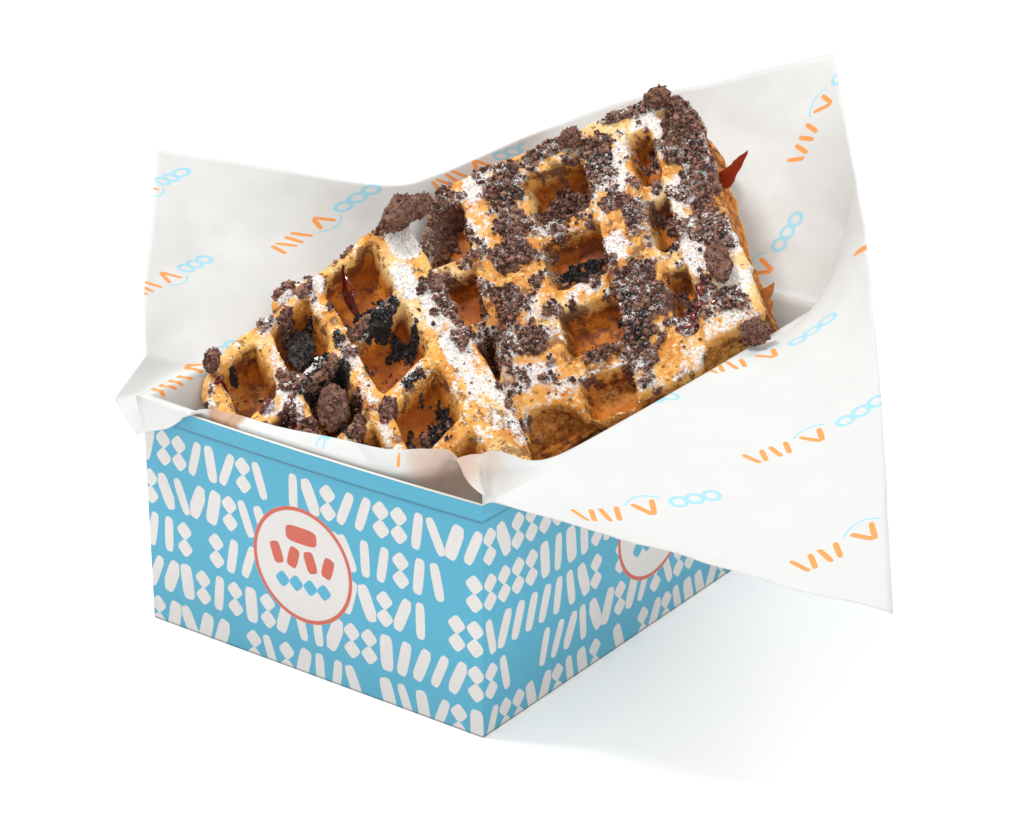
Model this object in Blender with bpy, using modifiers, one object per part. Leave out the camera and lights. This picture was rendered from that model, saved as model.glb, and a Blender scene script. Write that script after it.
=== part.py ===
"""Waffle pieces with cookie crumbs in an open paperboard carton lined with a paper sheet.

Metres, +Z up. The origin is the middle of the carton's base, on the surface it stands on.
The long sides run along Y and the short sides along X. The near corner is at +X, -Y.
"""
import math
import random

import bmesh
import bpy
from mathutils import Matrix, Vector

MM = 0.001

# Carton
CARTON_X = 112 * MM
CARTON_Y = 165 * MM
CARTON_Z = 65 * MM
BOARD = 0.9 * MM
WALL_BOW = 1.4 * MM
RIM_BAND = 4.4 * MM
RIM_STEP = 0.3 * MM
CREASE = 0.5 * MM

# Paper liner, a square sheet laid corner to side in the carton
PAPER = 0.4 * MM
GAP = 0.35 * MM
LINER_STEPS_LONG = 28
LINER_STEPS_SHORT = 20
FLOOR_INSET = 8 * MM
LOW_INSET = 3.2 * MM
WALL_INSET = 1.3 * MM
RIM_CLEARANCE = 0.6 * MM
OVERHANG = 0.9 * MM
FLAP_SAG = 3 * MM
LINER_FLOOR = BOARD + 0.7 * MM
LINER_RIM = CARTON_Z + 0.75 * MM

# Waffle iron: the grid has a pitch of 24 mm
THICKNESS = 25 * MM
UNDER_DEPTH = 8.5 * MM
POCKET_TAPER = 0.86
FLASH = 1.2 * MM
EDGE_ROUND = 1.3 * MM

SEED = 11


def clear_scene():
    """Empty the file, so that the script can be run again."""
    for thing in list(bpy.data.objects):
        bpy.data.objects.remove(thing, do_unlink=True)
    for group in list(bpy.data.collections):
        bpy.data.collections.remove(group)


def new_collection(name):
    group = bpy.data.collections.new(name)
    bpy.context.scene.collection.children.link(group)
    return group


def new_material(name, colour, roughness):
    finish = bpy.data.materials.new(name)
    finish.use_nodes = True
    shader = finish.node_tree.nodes["Principled BSDF"]
    shader.inputs["Base Color"].default_value = (*colour, 1.0)
    shader.inputs["Roughness"].default_value = roughness
    shader.inputs["Metallic"].default_value = 0.0
    return finish


def new_object(name, shape, finish, group):
    """Make an object from a bmesh, in the given collection."""
    mesh = bpy.data.meshes.new(name)
    shape.to_mesh(mesh)
    shape.free()
    thing = bpy.data.objects.new(name, mesh)
    group.objects.link(thing)
    if finish:
        mesh.materials.append(finish)
    return thing


def apply_modifiers(thing):
    """Replace the object's mesh by the one its modifiers give."""
    depsgraph = bpy.context.evaluated_depsgraph_get()
    finished = bpy.data.meshes.new_from_object(thing.evaluated_get(depsgraph))
    thing.modifiers.clear()
    thing.data = finished


def add_boolean(thing, operation, other=None, group=None, solver="EXACT"):
    cut = thing.modifiers.new(operation.title(), "BOOLEAN")
    cut.operation = operation
    cut.solver = solver
    if group:
        cut.operand_type = "COLLECTION"
        cut.collection = group
    else:
        cut.object = other
    return cut


def make_carton(parts):
    """A box of folded paperboard, open at the top, with a turned-in rim band and bowed walls."""
    shape = bmesh.new()
    bmesh.ops.create_cube(shape, size=1.0)
    bmesh.ops.scale(shape, vec=(CARTON_X, CARTON_Y, CARTON_Z), verts=shape.verts)
    bmesh.ops.translate(shape, vec=(0, 0, CARTON_Z / 2), verts=shape.verts)
    top = [face for face in shape.faces if face.normal.z > 0.9]
    bmesh.ops.delete(shape, geom=top, context="FACES_ONLY")
    band_low = CARTON_Z - RIM_BAND
    heights = [CARTON_Z * 0.3, CARTON_Z * 0.62, band_low - CREASE, band_low]
    planes = [((0, 0, height), (0, 0, 1)) for height in heights]
    planes += [((CARTON_X * step / 6, 0, 0), (1, 0, 0)) for step in (-2, -1, 0, 1, 2)]
    planes += [((0, CARTON_Y * step / 8, 0), (0, 1, 0)) for step in (-3, -2, -1, 0, 1, 2, 3)]
    for point, normal in planes:
        everything = shape.verts[:] + shape.edges[:] + shape.faces[:]
        bmesh.ops.bisect_plane(shape, geom=everything, plane_co=point, plane_no=normal, dist=1e-7)
    for vert in shape.verts:
        x, y, z = vert.co
        rise = z / CARTON_Z
        across = abs(x) / (CARTON_X / 2)
        along = abs(y) / (CARTON_Y / 2)
        step = RIM_STEP if z > band_low - CREASE / 2 else 0.0
        if across > 0.999 and z > 0:
            vert.co.x += math.copysign(WALL_BOW * rise * (1 - along ** 2) + step, x)
        if along > 0.999 and z > 0:
            vert.co.y += math.copysign(WALL_BOW * rise * (1 - across ** 2) + step, y)
    bmesh.ops.recalc_face_normals(shape, faces=shape.faces)
    board = new_material("printed_board", (0.08, 0.44, 0.66), 0.45)
    carton = new_object("carton", shape, board, parts)
    wall = carton.modifiers.new("Board", "SOLIDIFY")
    wall.thickness = BOARD
    wall.offset = -1
    wall.use_even_offset = True
    return carton


def spline_through(points, where):
    """Catmull-Rom curve through (station, Vector) pairs on a closed loop, read at a station."""
    count = len(points)
    perimeter = 2 * (CARTON_X + CARTON_Y)
    for index in range(count):
        start, end = points[index], points[(index + 1) % count]
        first = start[0]
        last = end[0] if index + 1 < count else end[0] + perimeter
        place = where if where >= points[0][0] else where + perimeter
        if first <= place <= last:
            blend = (place - first) / (last - first)
            before, after = points[index - 1][1], points[(index + 2) % count][1]
            slope_in = (end[1] - before) * 0.5
            slope_out = (after - start[1]) * 0.5
            square, cube = blend ** 2, blend ** 3
            return ((2 * cube - 3 * square + 1) * start[1] + (cube - 2 * square + blend) * slope_in
                    + (3 * square - 2 * cube) * end[1] + (cube - square) * slope_out)
    return points[0][1]


def rectangle_point(station, half_x, half_y, corner):
    """The point at a station round the carton, on a rectangle with round corners.

    Stations are in metres along the carton's own outline, from the near corner, anticlockwise.
    """
    perimeter = 2 * (CARTON_X + CARTON_Y)
    station = station % perimeter
    sides = [CARTON_Y, CARTON_X, CARTON_Y, CARTON_X]
    corners = [Vector((1, -1)), Vector((1, 1)), Vector((-1, 1)), Vector((-1, -1))]
    side = 0
    while station > sides[side] and side < 3:
        station -= sides[side]
        side += 1
    share = station / sides[side]
    start, end = corners[side], corners[(side + 1) % 4]
    point = start.lerp(end, share)
    flat = Vector((point.x * half_x, point.y * half_y))
    over_x = abs(flat.x) - (half_x - corner)
    over_y = abs(flat.y) - (half_y - corner)
    if over_x > 0 and over_y > 0:
        reach = max(math.hypot(over_x, over_y), 1e-9)
        flat.x = math.copysign(half_x - corner + over_x / reach * corner, flat.x)
        flat.y = math.copysign(half_y - corner + over_y / reach * corner, flat.y)
    return flat


# The sheet's free edge: station round the carton, then the point, all in mm.
SHEET_EDGE = [
    (4, (65, -83.5, 67.5)), (14, (86, -79, 65.5)), (26, (119, -68, 60)), (40, (159, -62, 58)),
    (85, (122, -2, 70)), (125, (86, 54, 82)), (160, (56, 97, 99)), (200, (21, 141, 120)),
    (230, (-9, 126, 110)), (252, (-29, 109, 105)), (272, (-55, 98, 93)), (300, (-66, 62, 87)),
    (322, (-68, 38, 89)), (345, (-88, 14, 96)), (372, (-112, -14, 105)), (404, (-77, -58, 81)),
    (424, (-70, -78, 69)), (434, (-66, -86, 61.5)), (446, (-54, -86, 55.5)), (455, (-43, -85.5, 61)),
    (463, (-35.5, -83.0, 67.2)), (471, (-27, -79.4, 67)), (486, (-12, -78.9, 67)),
    (506, (7, -78.9, 68.8)), (522, (24, -78.9, 70.2)), (534, (36, -78.9, 73.5)),
    (543, (45, -79.6, 75)), (549, (53, -82.8, 69.5)),
]
FOLD_STATION = 1 * MM
FOLD_WIDTH = 17 * MM
FOLD_INWARD = 9 * MM
FOLD_RISE = 9.5 * MM


def rim_point(station, outward):
    """A point over the carton's bowed rim, outward from the board's inner face."""
    flat = rectangle_point(station, CARTON_X / 2 - BOARD, CARTON_Y / 2 - BOARD, 0)
    across, along = abs(flat.x) / (CARTON_X / 2 - BOARD), abs(flat.y) / (CARTON_Y / 2 - BOARD)
    if across > 0.999:
        flat.x += math.copysign(1, flat.x) * (WALL_BOW * (1 - along ** 2) + outward)
    if along > 0.999:
        flat.y += math.copysign(1, flat.y) * (WALL_BOW * (1 - across ** 2) + outward)
    return Vector((flat.x, flat.y, LINER_RIM))


def sheet_rings(station, edge):
    """The points of the liner at one station, from the middle of the floor out to the free edge."""
    perimeter = 2 * (CARTON_X + CARTON_Y)
    inner_x, inner_y = CARTON_X / 2 - BOARD, CARTON_Y / 2 - BOARD
    floor = rectangle_point(station, inner_x - FLOOR_INSET, inner_y - FLOOR_INSET, 5 * MM)
    low = rectangle_point(station, inner_x - LOW_INSET, inner_y - LOW_INSET, 5 * MM)
    wall = rectangle_point(station, inner_x - WALL_INSET, inner_y - WALL_INSET, 3 * MM)
    offset = (station - FOLD_STATION + perimeter / 2) % perimeter - perimeter / 2
    fold = math.exp(-(offset / FOLD_WIDTH) ** 2)
    inward = Vector((-wall.x, -wall.y)).normalized() * FOLD_INWARD * fold
    rings = [
        Vector((0, 0, LINER_FLOOR)), Vector((floor.x * 0.55, floor.y * 0.55, LINER_FLOOR)),
        Vector((floor.x, floor.y, LINER_FLOOR)), Vector((low.x, low.y, LINER_FLOOR + 5.5 * MM)),
        Vector((wall.x, wall.y, 30 * MM)),
    ]
    reach = max(abs(edge.x) - inner_x, abs(edge.y) - inner_y)
    top = Vector((wall.x + inward.x, wall.y + inward.y, 58 * MM + 1.2 * FOLD_RISE * fold))
    crest_in = rim_point(station, -RIM_CLEARANCE)
    crest_in += Vector((inward.x, inward.y, 0)) * 0.6 + Vector((0, 0, FOLD_RISE * fold))
    rings += [top, crest_in]
    over = BOARD + RIM_STEP + OVERHANG
    if reach < over:
        rings += [crest_in.lerp(edge, share) for share in (0.4, 0.6, 0.8, 1.0)]
        return rings
    crest_out = rim_point(station, over)
    rings.append(crest_out)
    sag = FLAP_SAG * min(1, (edge - crest_out).length / (45 * MM))
    for share in (0.3, 0.64, 1.0):
        point = crest_out.lerp(edge, share)
        point.z -= sag * math.sin(math.pi * share)
        if point.z < LINER_RIM and abs(crest_out.y) > CARTON_Y / 2:
            point.y = math.copysign(max(abs(point.y), abs(crest_out.y)), crest_out.y)
        rings.append(point)
    return rings


def make_liner(parts):
    """The paper sheet: a grid laid over the floor, up the walls, over the rim and out to its edge."""
    edge_curve = [(station * MM, Vector(point) * MM) for station, point in SHEET_EDGE]
    sides = [(CARTON_Y, LINER_STEPS_LONG), (CARTON_X, LINER_STEPS_SHORT)] * 2
    columns = []
    start = 0.0
    for length, steps in sides:
        for step in range(steps):
            station = start + length * step / steps
            columns.append(sheet_rings(station, spline_through(edge_curve, station)))
        start += length
    step_count = len(columns)
    ring_count = len(columns[0]) - 1
    shape = bmesh.new()
    bmesh.ops.create_grid(shape, x_segments=step_count, y_segments=ring_count, size=0.5)
    for vert in shape.verts:
        step = round((vert.co.x + 0.5) * step_count) % step_count
        ring = round((vert.co.y + 0.5) * ring_count)
        vert.co = columns[step][ring]
    bmesh.ops.remove_doubles(shape, verts=shape.verts, dist=1e-5)
    bmesh.ops.recalc_face_normals(shape, faces=shape.faces)
    paper = new_material("liner_paper", (0.9, 0.9, 0.88), 0.7)
    liner = new_object("paper_liner", shape, paper, parts)
    sheet = liner.modifiers.new("Paper", "SOLIDIFY")
    sheet.thickness = PAPER
    sheet.offset = 0
    return liner


def waffle_axes(origin, row, column):
    """The matrix from a waffle's own grid to the world: x along the rows, y up the columns."""
    along = Vector(row).normalized()
    upward = -Vector(column).normalized()
    normal = along.cross(upward).normalized()
    matrix = Matrix.Identity(4)
    for index in range(3):
        matrix[index][0] = along[index]
        matrix[index][1] = upward[index]
        matrix[index][2] = normal[index]
        matrix[index][3] = origin[index] * MM
    return matrix


def slab_shape(outline, thickness):
    """A flat slab under the outline, with a thin seam standing proud round its middle."""
    shape = bmesh.new()
    corners = [shape.verts.new((x * MM, -q * MM, 0)) for x, q in outline]
    face = shape.faces.new(corners)
    grown = bmesh.ops.extrude_face_region(shape, geom=[face])
    lower = [item for item in grown["geom"] if isinstance(item, bmesh.types.BMVert)]
    bmesh.ops.translate(shape, vec=(0, 0, -thickness), verts=lower)
    middle = -thickness / 2
    for height in (middle - 2 * MM, middle, middle + 2 * MM):
        everything = shape.verts[:] + shape.edges[:] + shape.faces[:]
        bmesh.ops.bisect_plane(shape, geom=everything, plane_co=(0, 0, height), plane_no=(0, 0, 1), dist=1e-7)
    bmesh.ops.recalc_face_normals(shape, faces=shape.faces)
    shape.normal_update()
    seam = [vert for vert in shape.verts if abs(vert.co.z - middle) < 0.1 * MM]
    pushes = [(vert, Vector((vert.normal.x, vert.normal.y, 0)).normalized()) for vert in seam]
    for vert, push in pushes:
        vert.co += push * FLASH
    return shape


def pocket_beds(waffle):
    """Every pocket's sides on the grid: left, right, near, far."""
    beds = [(*column, *row) for column in waffle["columns"] for row in waffle["rows"]]
    return beds + waffle.get("open_pockets", [])


def pocket_shape(beds, thickness, sides):
    """Tapered blocks that cut the pockets out of a waffle; sides gives face and depth."""
    shape = bmesh.new()
    clear = 4 * MM
    for left, right, near, far in beds:
        size = ((right - left) * MM, (far - near) * MM)
        centre = ((left + right) / 2 * MM, -(near + far) / 2 * MM)
        for side, depth in sides:
            block = bmesh.ops.create_cube(shape, size=1.0)["verts"]
            height = depth + clear
            bmesh.ops.scale(shape, vec=(*size, height), verts=block)
            for vert in block:
                if vert.co.z * side < 0:
                    vert.co.x *= POCKET_TAPER
                    vert.co.y *= POCKET_TAPER
            face_height = 0 if side > 0 else -thickness
            middle = face_height + side * (clear - depth) / 2
            bmesh.ops.translate(shape, vec=(*centre, middle), verts=block)
    return shape


def surface_height(x, q, waffle):
    """Height of the upper face at a place on the grid: nought on a ridge, lower in a pocket."""
    for left, right, near, far in pocket_beds(waffle):
        if left + 1.5 < x < right - 1.5 and near + 1.5 < q < far - 1.5:
            return -waffle["depth"] * MM
    return 0.0


def inside_outline(x, q, outline, margin):
    """True where the place is inside the outline by more than the margin, in mm."""
    inside = False
    count = len(outline)
    for index in range(count):
        (ax, aq), (bx, bq) = outline[index], outline[(index + 1) % count]
        if (aq > q) != (bq > q) and x < (bx - ax) * (q - aq) / (bq - aq) + ax:
            inside = not inside
        span = Vector((bx - ax, bq - aq))
        share = min(1, max(0, (Vector((x - ax, q - aq)).dot(span)) / span.length_squared))
        if (Vector((ax, aq)) + span * share - Vector((x, q))).length < margin:
            return False
    return inside


def crumb_places(draw, beds, count, waffle, clear_of):
    """Places for crumbs, drawn bed by bed, off the chunks and apart from each other."""
    places = []
    tries = 0
    while len(places) < count and tries < count * 60:
        tries += 1
        left, right, near, far = beds[tries % len(beds)]
        x, q = draw.uniform(left, right), draw.uniform(near, far)
        size = draw.uniform(1.7, 2.9)
        if not inside_outline(x, q, waffle["outline"], size + 0.6):
            continue
        if any(math.hypot(x - cx, q - cq) < reach + size + 0.8 for cx, cq, reach in clear_of):
            continue
        if any(math.hypot(x - ox, q - oq) < (size + other) * 0.8 for ox, oq, other in places):
            continue
        near_wall = False
        for left_side, right_side, top_side, low_side in pocket_beds(waffle):
            deep = left_side < x < right_side and top_side < q < low_side
            margin = size + 1.2
            well_in = (left_side + margin < x < right_side - margin
                       and top_side + margin < q < low_side - margin)
            if deep and not well_in:
                near_wall = True
        if not near_wall:
            places.append((x, q, size))
    return places


def crumb_shape(draw, size, squash):
    """One crumb: a small ball of flat faces, pulled uneven."""
    shape = bmesh.new()
    bmesh.ops.create_icosphere(shape, subdivisions=1, radius=size * MM)
    for vert in shape.verts:
        vert.co *= draw.uniform(0.82, 1.12)
        vert.co.z *= squash
    turn = Matrix.Rotation(draw.uniform(0, math.tau), 4, "Z")
    bmesh.ops.transform(shape, matrix=turn, verts=shape.verts)
    return shape


def press_on_paper(body, liner, cutters):
    """Cut the food back from the paper by the gap, and drop what would lie outside the paper."""
    sheet = liner.copy()
    sheet.data = liner.data.copy()
    cutters.objects.link(sheet)
    sheet.hide_render = True
    sheet.display_type = "WIRE"
    sheet.modifiers["Paper"].thickness = PAPER + 2 * GAP
    bpy.context.view_layer.update()
    add_boolean(body, "DIFFERENCE", other=sheet)
    apply_modifiers(body)
    bpy.data.objects.remove(sheet, do_unlink=True)
    keep_largest_piece(body)


def keep_largest_piece(body):
    """Delete all but the piece with the most corners."""
    shape = bmesh.new()
    shape.from_mesh(body.data)
    seen = set()
    pieces = []
    for start in shape.verts:
        if start in seen:
            continue
        piece = {start}
        edge_of_search = [start]
        while edge_of_search:
            vert = edge_of_search.pop()
            for edge in vert.link_edges:
                other = edge.other_vert(vert)
                if other not in piece:
                    piece.add(other)
                    edge_of_search.append(other)
        seen |= piece
        pieces.append(piece)
    largest = max(pieces, key=len)
    outside = [vert for vert in shape.verts if vert not in largest]
    bmesh.ops.delete(shape, geom=outside, context="VERTS")
    shape.to_mesh(body.data)
    shape.free()


def make_waffle(name, waffle, parts, cutters, finish, liner):
    """One waffle piece: the slab less its pockets, rounded, with its crumbs joined on."""
    draw = random.Random(SEED + waffle["seed"])
    thickness = waffle.get("thickness", THICKNESS / MM) * MM
    body = new_object(name, slab_shape(waffle["outline"], thickness), finish, parts)
    sides = [(1, waffle["depth"] * MM)]
    if waffle["under_pockets"]:
        sides.append((-1, UNDER_DEPTH))
    blocks = pocket_shape(pocket_beds(waffle), thickness, sides)
    pockets = new_object(name + "_pockets", blocks, None, cutters)
    pockets.hide_render = True
    pockets.display_type = "WIRE"
    add_boolean(body, "DIFFERENCE", other=pockets)
    soft = body.modifiers.new("Soft edges", "BEVEL")
    soft.width = EDGE_ROUND
    soft.segments = 1
    soft.limit_method = "ANGLE"
    soft.angle_limit = math.radians(50)
    apply_modifiers(body)
    bpy.data.objects.remove(pockets, do_unlink=True)

    toppings = new_collection(name + "_crumbs")
    places = crumb_places(draw, waffle["beds"], waffle["crumbs"], waffle, waffle["keep_clear"])
    places.sort(key=lambda place: -place[2])
    for index, (x, q, size) in enumerate(places):
        crumb = new_object("crumb_%d" % index, crumb_shape(draw, size, 0.75), finish, toppings)
        height = surface_height(x, q, waffle)
        crumb.location = (x * MM, -q * MM, height + size * 0.28 * MM)
    bpy.context.view_layer.update()
    add_boolean(body, "UNION", group=toppings)
    apply_modifiers(body)
    for crumb in list(toppings.objects):
        bpy.data.objects.remove(crumb, do_unlink=True)
    bpy.data.collections.remove(toppings)

    body.data.transform(waffle["axes"])
    for point, normal in waffle["trims"]:
        trim_with_plane(body, point, normal)
    press_on_paper(body, liner, cutters)
    return body


def trim_with_plane(body, point, normal):
    """Cut off what lies beyond a plane and close the cut."""
    shape = bmesh.new()
    shape.from_mesh(body.data)
    everything = shape.verts[:] + shape.edges[:] + shape.faces[:]
    cut = bmesh.ops.bisect_plane(shape, geom=everything, plane_co=Vector(point) * MM, plane_no=normal,
                                 clear_outer=True, dist=1e-7)
    rims = [item for item in cut["geom_cut"] if isinstance(item, bmesh.types.BMEdge)]
    if rims:
        bmesh.ops.holes_fill(shape, edges=rims, sides=0)
    bmesh.ops.recalc_face_normals(shape, faces=shape.faces)
    shape.to_mesh(body.data)
    shape.free()


BIG_WAFFLE = {
    "seed": 1,
    "depth": 9.5,
    "under_pockets": True,
    "axes": waffle_axes((-58.2, 58.5, 87.2), (0.768, 0.503, 0.395), (0.639, -0.567, -0.52)),
    "columns": [(-17.5, -0.8), (20.3, 37.6), (52.4, 59.6)],
    "rows": [(9.2, 26.4), (33.2, 50.6), (59.0, 74.6)],
    "open_pockets": [(21, 36, 83.6, 102)],
    "outline": [(-22, 4), (-8, 0), (12, -1.5), (32, -0.5), (52, -2.5), (66, -1.5), (74, 3), (78, 12),
                (79, 34), (77.5, 58), (79, 78), (77, 86), (68, 88), (59, 87), (55, 94), (48, 96),
                (40, 97), (29, 98), (20, 97), (17, 91), (10, 88.5), (3.5, 88), (3, 104),
                (-2, 113), (-12, 115), (-21, 106), (-23, 70), (-21, 36)],
    "beds": [(1, 20, 1, 56), (37, 53, 2, 60), (59, 77, 4, 60), (22, 36, 10, 26), (1, 20, 56, 84),
             (37, 54, 60, 92), (20, 52, 0, 9), (60, 77, 60, 84), (22, 36, 34, 50)],
    "crumbs": 74,
    "keep_clear": [(37, 3.5, 6), (65, 0.5, 6), (69, 65, 8)],
    "trims": [],
}
LEANING_WAFFLE = {
    "seed": 2,
    "depth": 9.5,
    "under_pockets": True,
    "axes": waffle_axes((-44, 13, 94), (0.112, 0.925, 0.3625), (0.791, -0.374, -0.484)),
    "columns": [(-34, -14), (-55.5, -40.5), (-76, -62)],
    "rows": [(2.4, 19.4), (25.8, 42.6), (49.0, 65.8), (72.4, 88)],
    "outline": [(-84, -1.5), (-70, -3.5), (-52, -1.5), (-38, -2.5), (-20, -1.5), (-8, -1.5), (-1.5, 0),
                (1, 6), (0, 30), (1, 60), (0.5, 86), (-3, 98), (-9, 99), (-14, 93), (-30, 96),
                (-45, 93), (-58, 84), (-70, 62), (-79, 36), (-84, 20)],
    "beds": [(-13, 0, 0, 90), (-40, -34, 6, 70), (-34, -15, 20, 26), (-55, -40, 20, 26),
             (-34, -15, 27, 42), (-62, -56, 2, 50), (-34, -15, 43, 48), (-34, -15, 4, 18)],
    "crumbs": 40,
    "keep_clear": [(-80, 1.5, 6), (-2.5, 4.5, 9), (-48, 12, 7), (-48, 35, 9), (-6, 60, 6)],
    "trims": [((-52.9, 0, 0), (-1, 0, 0)), ((0, -77.4, 0), (0, -1, 0))],
}
SMALL_WAFFLE = {
    "seed": 3,
    "depth": 5.5,
    "under_pockets": False,
    "axes": waffle_axes((-55.2, 23.3, 81.5), (-0.06, -0.99, -0.10), (-0.62, 0.10, -0.77)),
    "columns": [(8, 21), (28, 42)],
    "rows": [(3.2, 11)],
    "outline": [(0, 1), (14, -0.6), (28, 0.4), (42, -1), (50, 2), (51.5, 9), (47, 14.5), (30, 15), (12, 14.4),
                (1, 13)],
    "beds": [(2, 48, 0.5, 3), (22, 28, 2, 12)],
    "crumbs": 6,
    "keep_clear": [],
    "thickness": 11,
    "trims": [((-53.3, 0, 0), (1, 0, 0))],
}

# The level paper over the right rim, beside the big waffle's torn flank, for one chunk to lie on.
RIGHT_RIM = {
    "depth": 0,
    "axes": waffle_axes((56.5, 42.5, 66.1), (1, 0, 0), (0, -1, 0)),
    "columns": [],
    "rows": [],
}

# Cookie chunks: name, what it lies on, place on its grid, half sizes, all in mm.
CHUNKS = [
    ("chunk_big", LEANING_WAFFLE, (-48, 34.4), (5.6, 6.6, 5.2)),
    ("chunk_flat", LEANING_WAFFLE, (-48, 11), (5.0, 5.6, 2.0)),
    ("chunk_left", LEANING_WAFFLE, (-77, -0.5), (3.0, 2.7, 3.1)),
    ("clump_back", LEANING_WAFFLE, (-2.5, 4.5), (8.0, 5.0, 4.4)),
    ("chunk_back", BIG_WAFFLE, (37, 3.8), (3.6, 3.2, 2.8)),
    ("chunk_top", BIG_WAFFLE, (65, 1.6), (4.2, 2.9, 3.2)),
    ("chunk_right", BIG_WAFFLE, (69, 65), (3.9, 6.8, 2.2)),
    ("chunk_on_rim", RIGHT_RIM, (0, 0), (4.6, 4.0, 3.9)),
]


def make_chunk(name, waffle, place, half, parts, finish):
    """A broken piece of cookie, resting a hair above the face under it."""
    draw = random.Random(SEED + len(name) + int(place[0]))
    shape = bmesh.new()
    bmesh.ops.create_icosphere(shape, subdivisions=2, radius=1.0)
    for vert in shape.verts:
        vert.co *= draw.uniform(0.86, 1.0)
        vert.co.x *= half[0] * MM
        vert.co.y *= half[1] * MM
        vert.co.z *= half[2] * MM
    height = surface_height(*place, waffle)
    lowest = min(vert.co.z for vert in shape.verts)
    centre = Vector((place[0] * MM, -place[1] * MM, height - lowest + GAP))
    bmesh.ops.translate(shape, vec=centre, verts=shape.verts)
    bmesh.ops.transform(shape, matrix=waffle["axes"], verts=shape.verts)
    bmesh.ops.recalc_face_normals(shape, faces=shape.faces)
    return new_object(name, shape, finish, parts)


def build():
    clear_scene()
    parts = new_collection("waffles_in_carton")
    cutters = new_collection("cutters")
    make_carton(parts)
    liner = make_liner(parts)
    crust = new_material("waffle_crust", (0.72, 0.36, 0.1), 0.65)
    cookie = new_material("dark_cookie", (0.05, 0.03, 0.025), 0.85)
    make_waffle("waffle_big", BIG_WAFFLE, parts, cutters, crust, liner)
    make_waffle("waffle_leaning", LEANING_WAFFLE, parts, cutters, crust, liner)
    make_waffle("waffle_small", SMALL_WAFFLE, parts, cutters, crust, liner)
    for name, waffle, place, half in CHUNKS:
        make_chunk(name, waffle, place, half, parts, cookie)
    bpy.data.collections.remove(cutters)


build()
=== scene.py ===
"""Looks for the waffle pieces in a paper-lined carton.

Metres, +Z up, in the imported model's frame: the origin is the middle of the carton's base.
Waffle sizes and places below are in millimetres on each waffle's own grid: p along a row, q down
a column, h out of the upper face.
"""
import math

import bmesh
import bpy
import numpy as np
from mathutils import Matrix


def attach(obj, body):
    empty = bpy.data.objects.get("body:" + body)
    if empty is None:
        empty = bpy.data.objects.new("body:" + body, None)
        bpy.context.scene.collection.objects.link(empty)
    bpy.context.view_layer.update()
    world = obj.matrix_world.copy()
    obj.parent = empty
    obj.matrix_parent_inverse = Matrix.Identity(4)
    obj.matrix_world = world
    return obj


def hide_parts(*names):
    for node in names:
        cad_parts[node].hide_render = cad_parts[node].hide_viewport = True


bl_info = {
    "name": "Waffles in a lined carton",
    "version": (1, 0, 0),
    "blender": (4, 5, 0),
    "location": "View3D > Sidebar > Waffles",
    "description": "Dresses the packed carton, paper liner, waffle pieces and toppings",
    "category": "Object",
}

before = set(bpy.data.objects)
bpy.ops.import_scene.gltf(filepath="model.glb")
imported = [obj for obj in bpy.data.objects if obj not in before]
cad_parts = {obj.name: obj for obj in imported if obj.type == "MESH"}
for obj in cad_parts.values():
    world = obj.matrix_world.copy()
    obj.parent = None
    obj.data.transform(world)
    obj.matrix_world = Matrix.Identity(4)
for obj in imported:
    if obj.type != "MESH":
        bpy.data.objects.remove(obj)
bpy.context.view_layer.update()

MM = 0.001
CARTON_X = 112.0
CARTON_Y = 165.0
CARTON_Z = 65.0
BOARD = 0.9
WALL_BOW = 1.4
RIM_BAND = 4.4
RIM_STEP = 0.3
CREASE = 0.5


# Shapes

def smooth(value):
    """Fade curve 3t^2 - 2t^3, with t held between 0 and 1."""
    t = np.clip(value, 0, 1)
    return t * t * (3 - 2 * t)


def noise(points, size, seed):
    """Smooth noise in -1..1: random values on a cubic lattice, blended by the fade curve."""
    scaled = np.asarray(points, float) / size
    cell = np.floor(scaled).astype(np.int64)
    fade = smooth(scaled - cell)
    total = np.zeros(scaled.shape[:-1])
    for corner in range(8):
        step = np.array([(corner >> axis) & 1 for axis in range(3)])
        key = ((cell + step) * np.array([73856093, 19349663, 83492791])).sum(-1) + seed * 7919
        key = (key ^ (key >> 13)) * 1274126177
        key = key ^ (key >> 16)
        value = (key & 0xFFFF) / 32767.5 - 1
        total += value * np.prod(np.where(step, fade, 1 - fade), axis=-1)
    return total


def unit(vector):
    vector = np.asarray(vector, float)
    return vector / np.linalg.norm(vector, axis=-1, keepdims=True)


def grid_faces(rows, columns, wrap_rows=False):
    """Quads of a grid whose points are numbered row by row."""
    last = rows if wrap_rows else rows - 1
    i, j = np.meshgrid(np.arange(last), np.arange(columns - 1), indexing="ij")
    below = (i + 1) % rows
    return np.stack([i * columns + j, below * columns + j, below * columns + j + 1,
                     i * columns + j + 1], axis=-1).reshape(-1, 4)


def new_piece(name, points, faces, material, flat=False, values=None, uv=None):
    """A mesh object from arrays in mm, riding on the root body. values maps attribute names to arrays."""
    mesh = bpy.data.meshes.new(name)
    mesh.from_pydata((np.asarray(points) * MM).tolist(), [], np.asarray(faces).tolist())
    for key, array in (values or {}).items():
        layer = mesh.attributes.new(key, "FLOAT", "POINT")
        layer.data.foreach_set("value", np.asarray(array, np.float32))
    if uv is not None:
        layer = mesh.uv_layers.new(name="print")
        layer.data.foreach_set("uv", np.asarray(uv, np.float32).ravel())
    mesh.update()
    mesh.polygons.foreach_set("use_smooth", np.full(len(mesh.polygons), not flat))
    piece = bpy.data.objects.new(name, mesh)
    bpy.context.scene.collection.objects.link(piece)
    mesh.materials.append(material)
    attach(piece, "root")
    return piece


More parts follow.
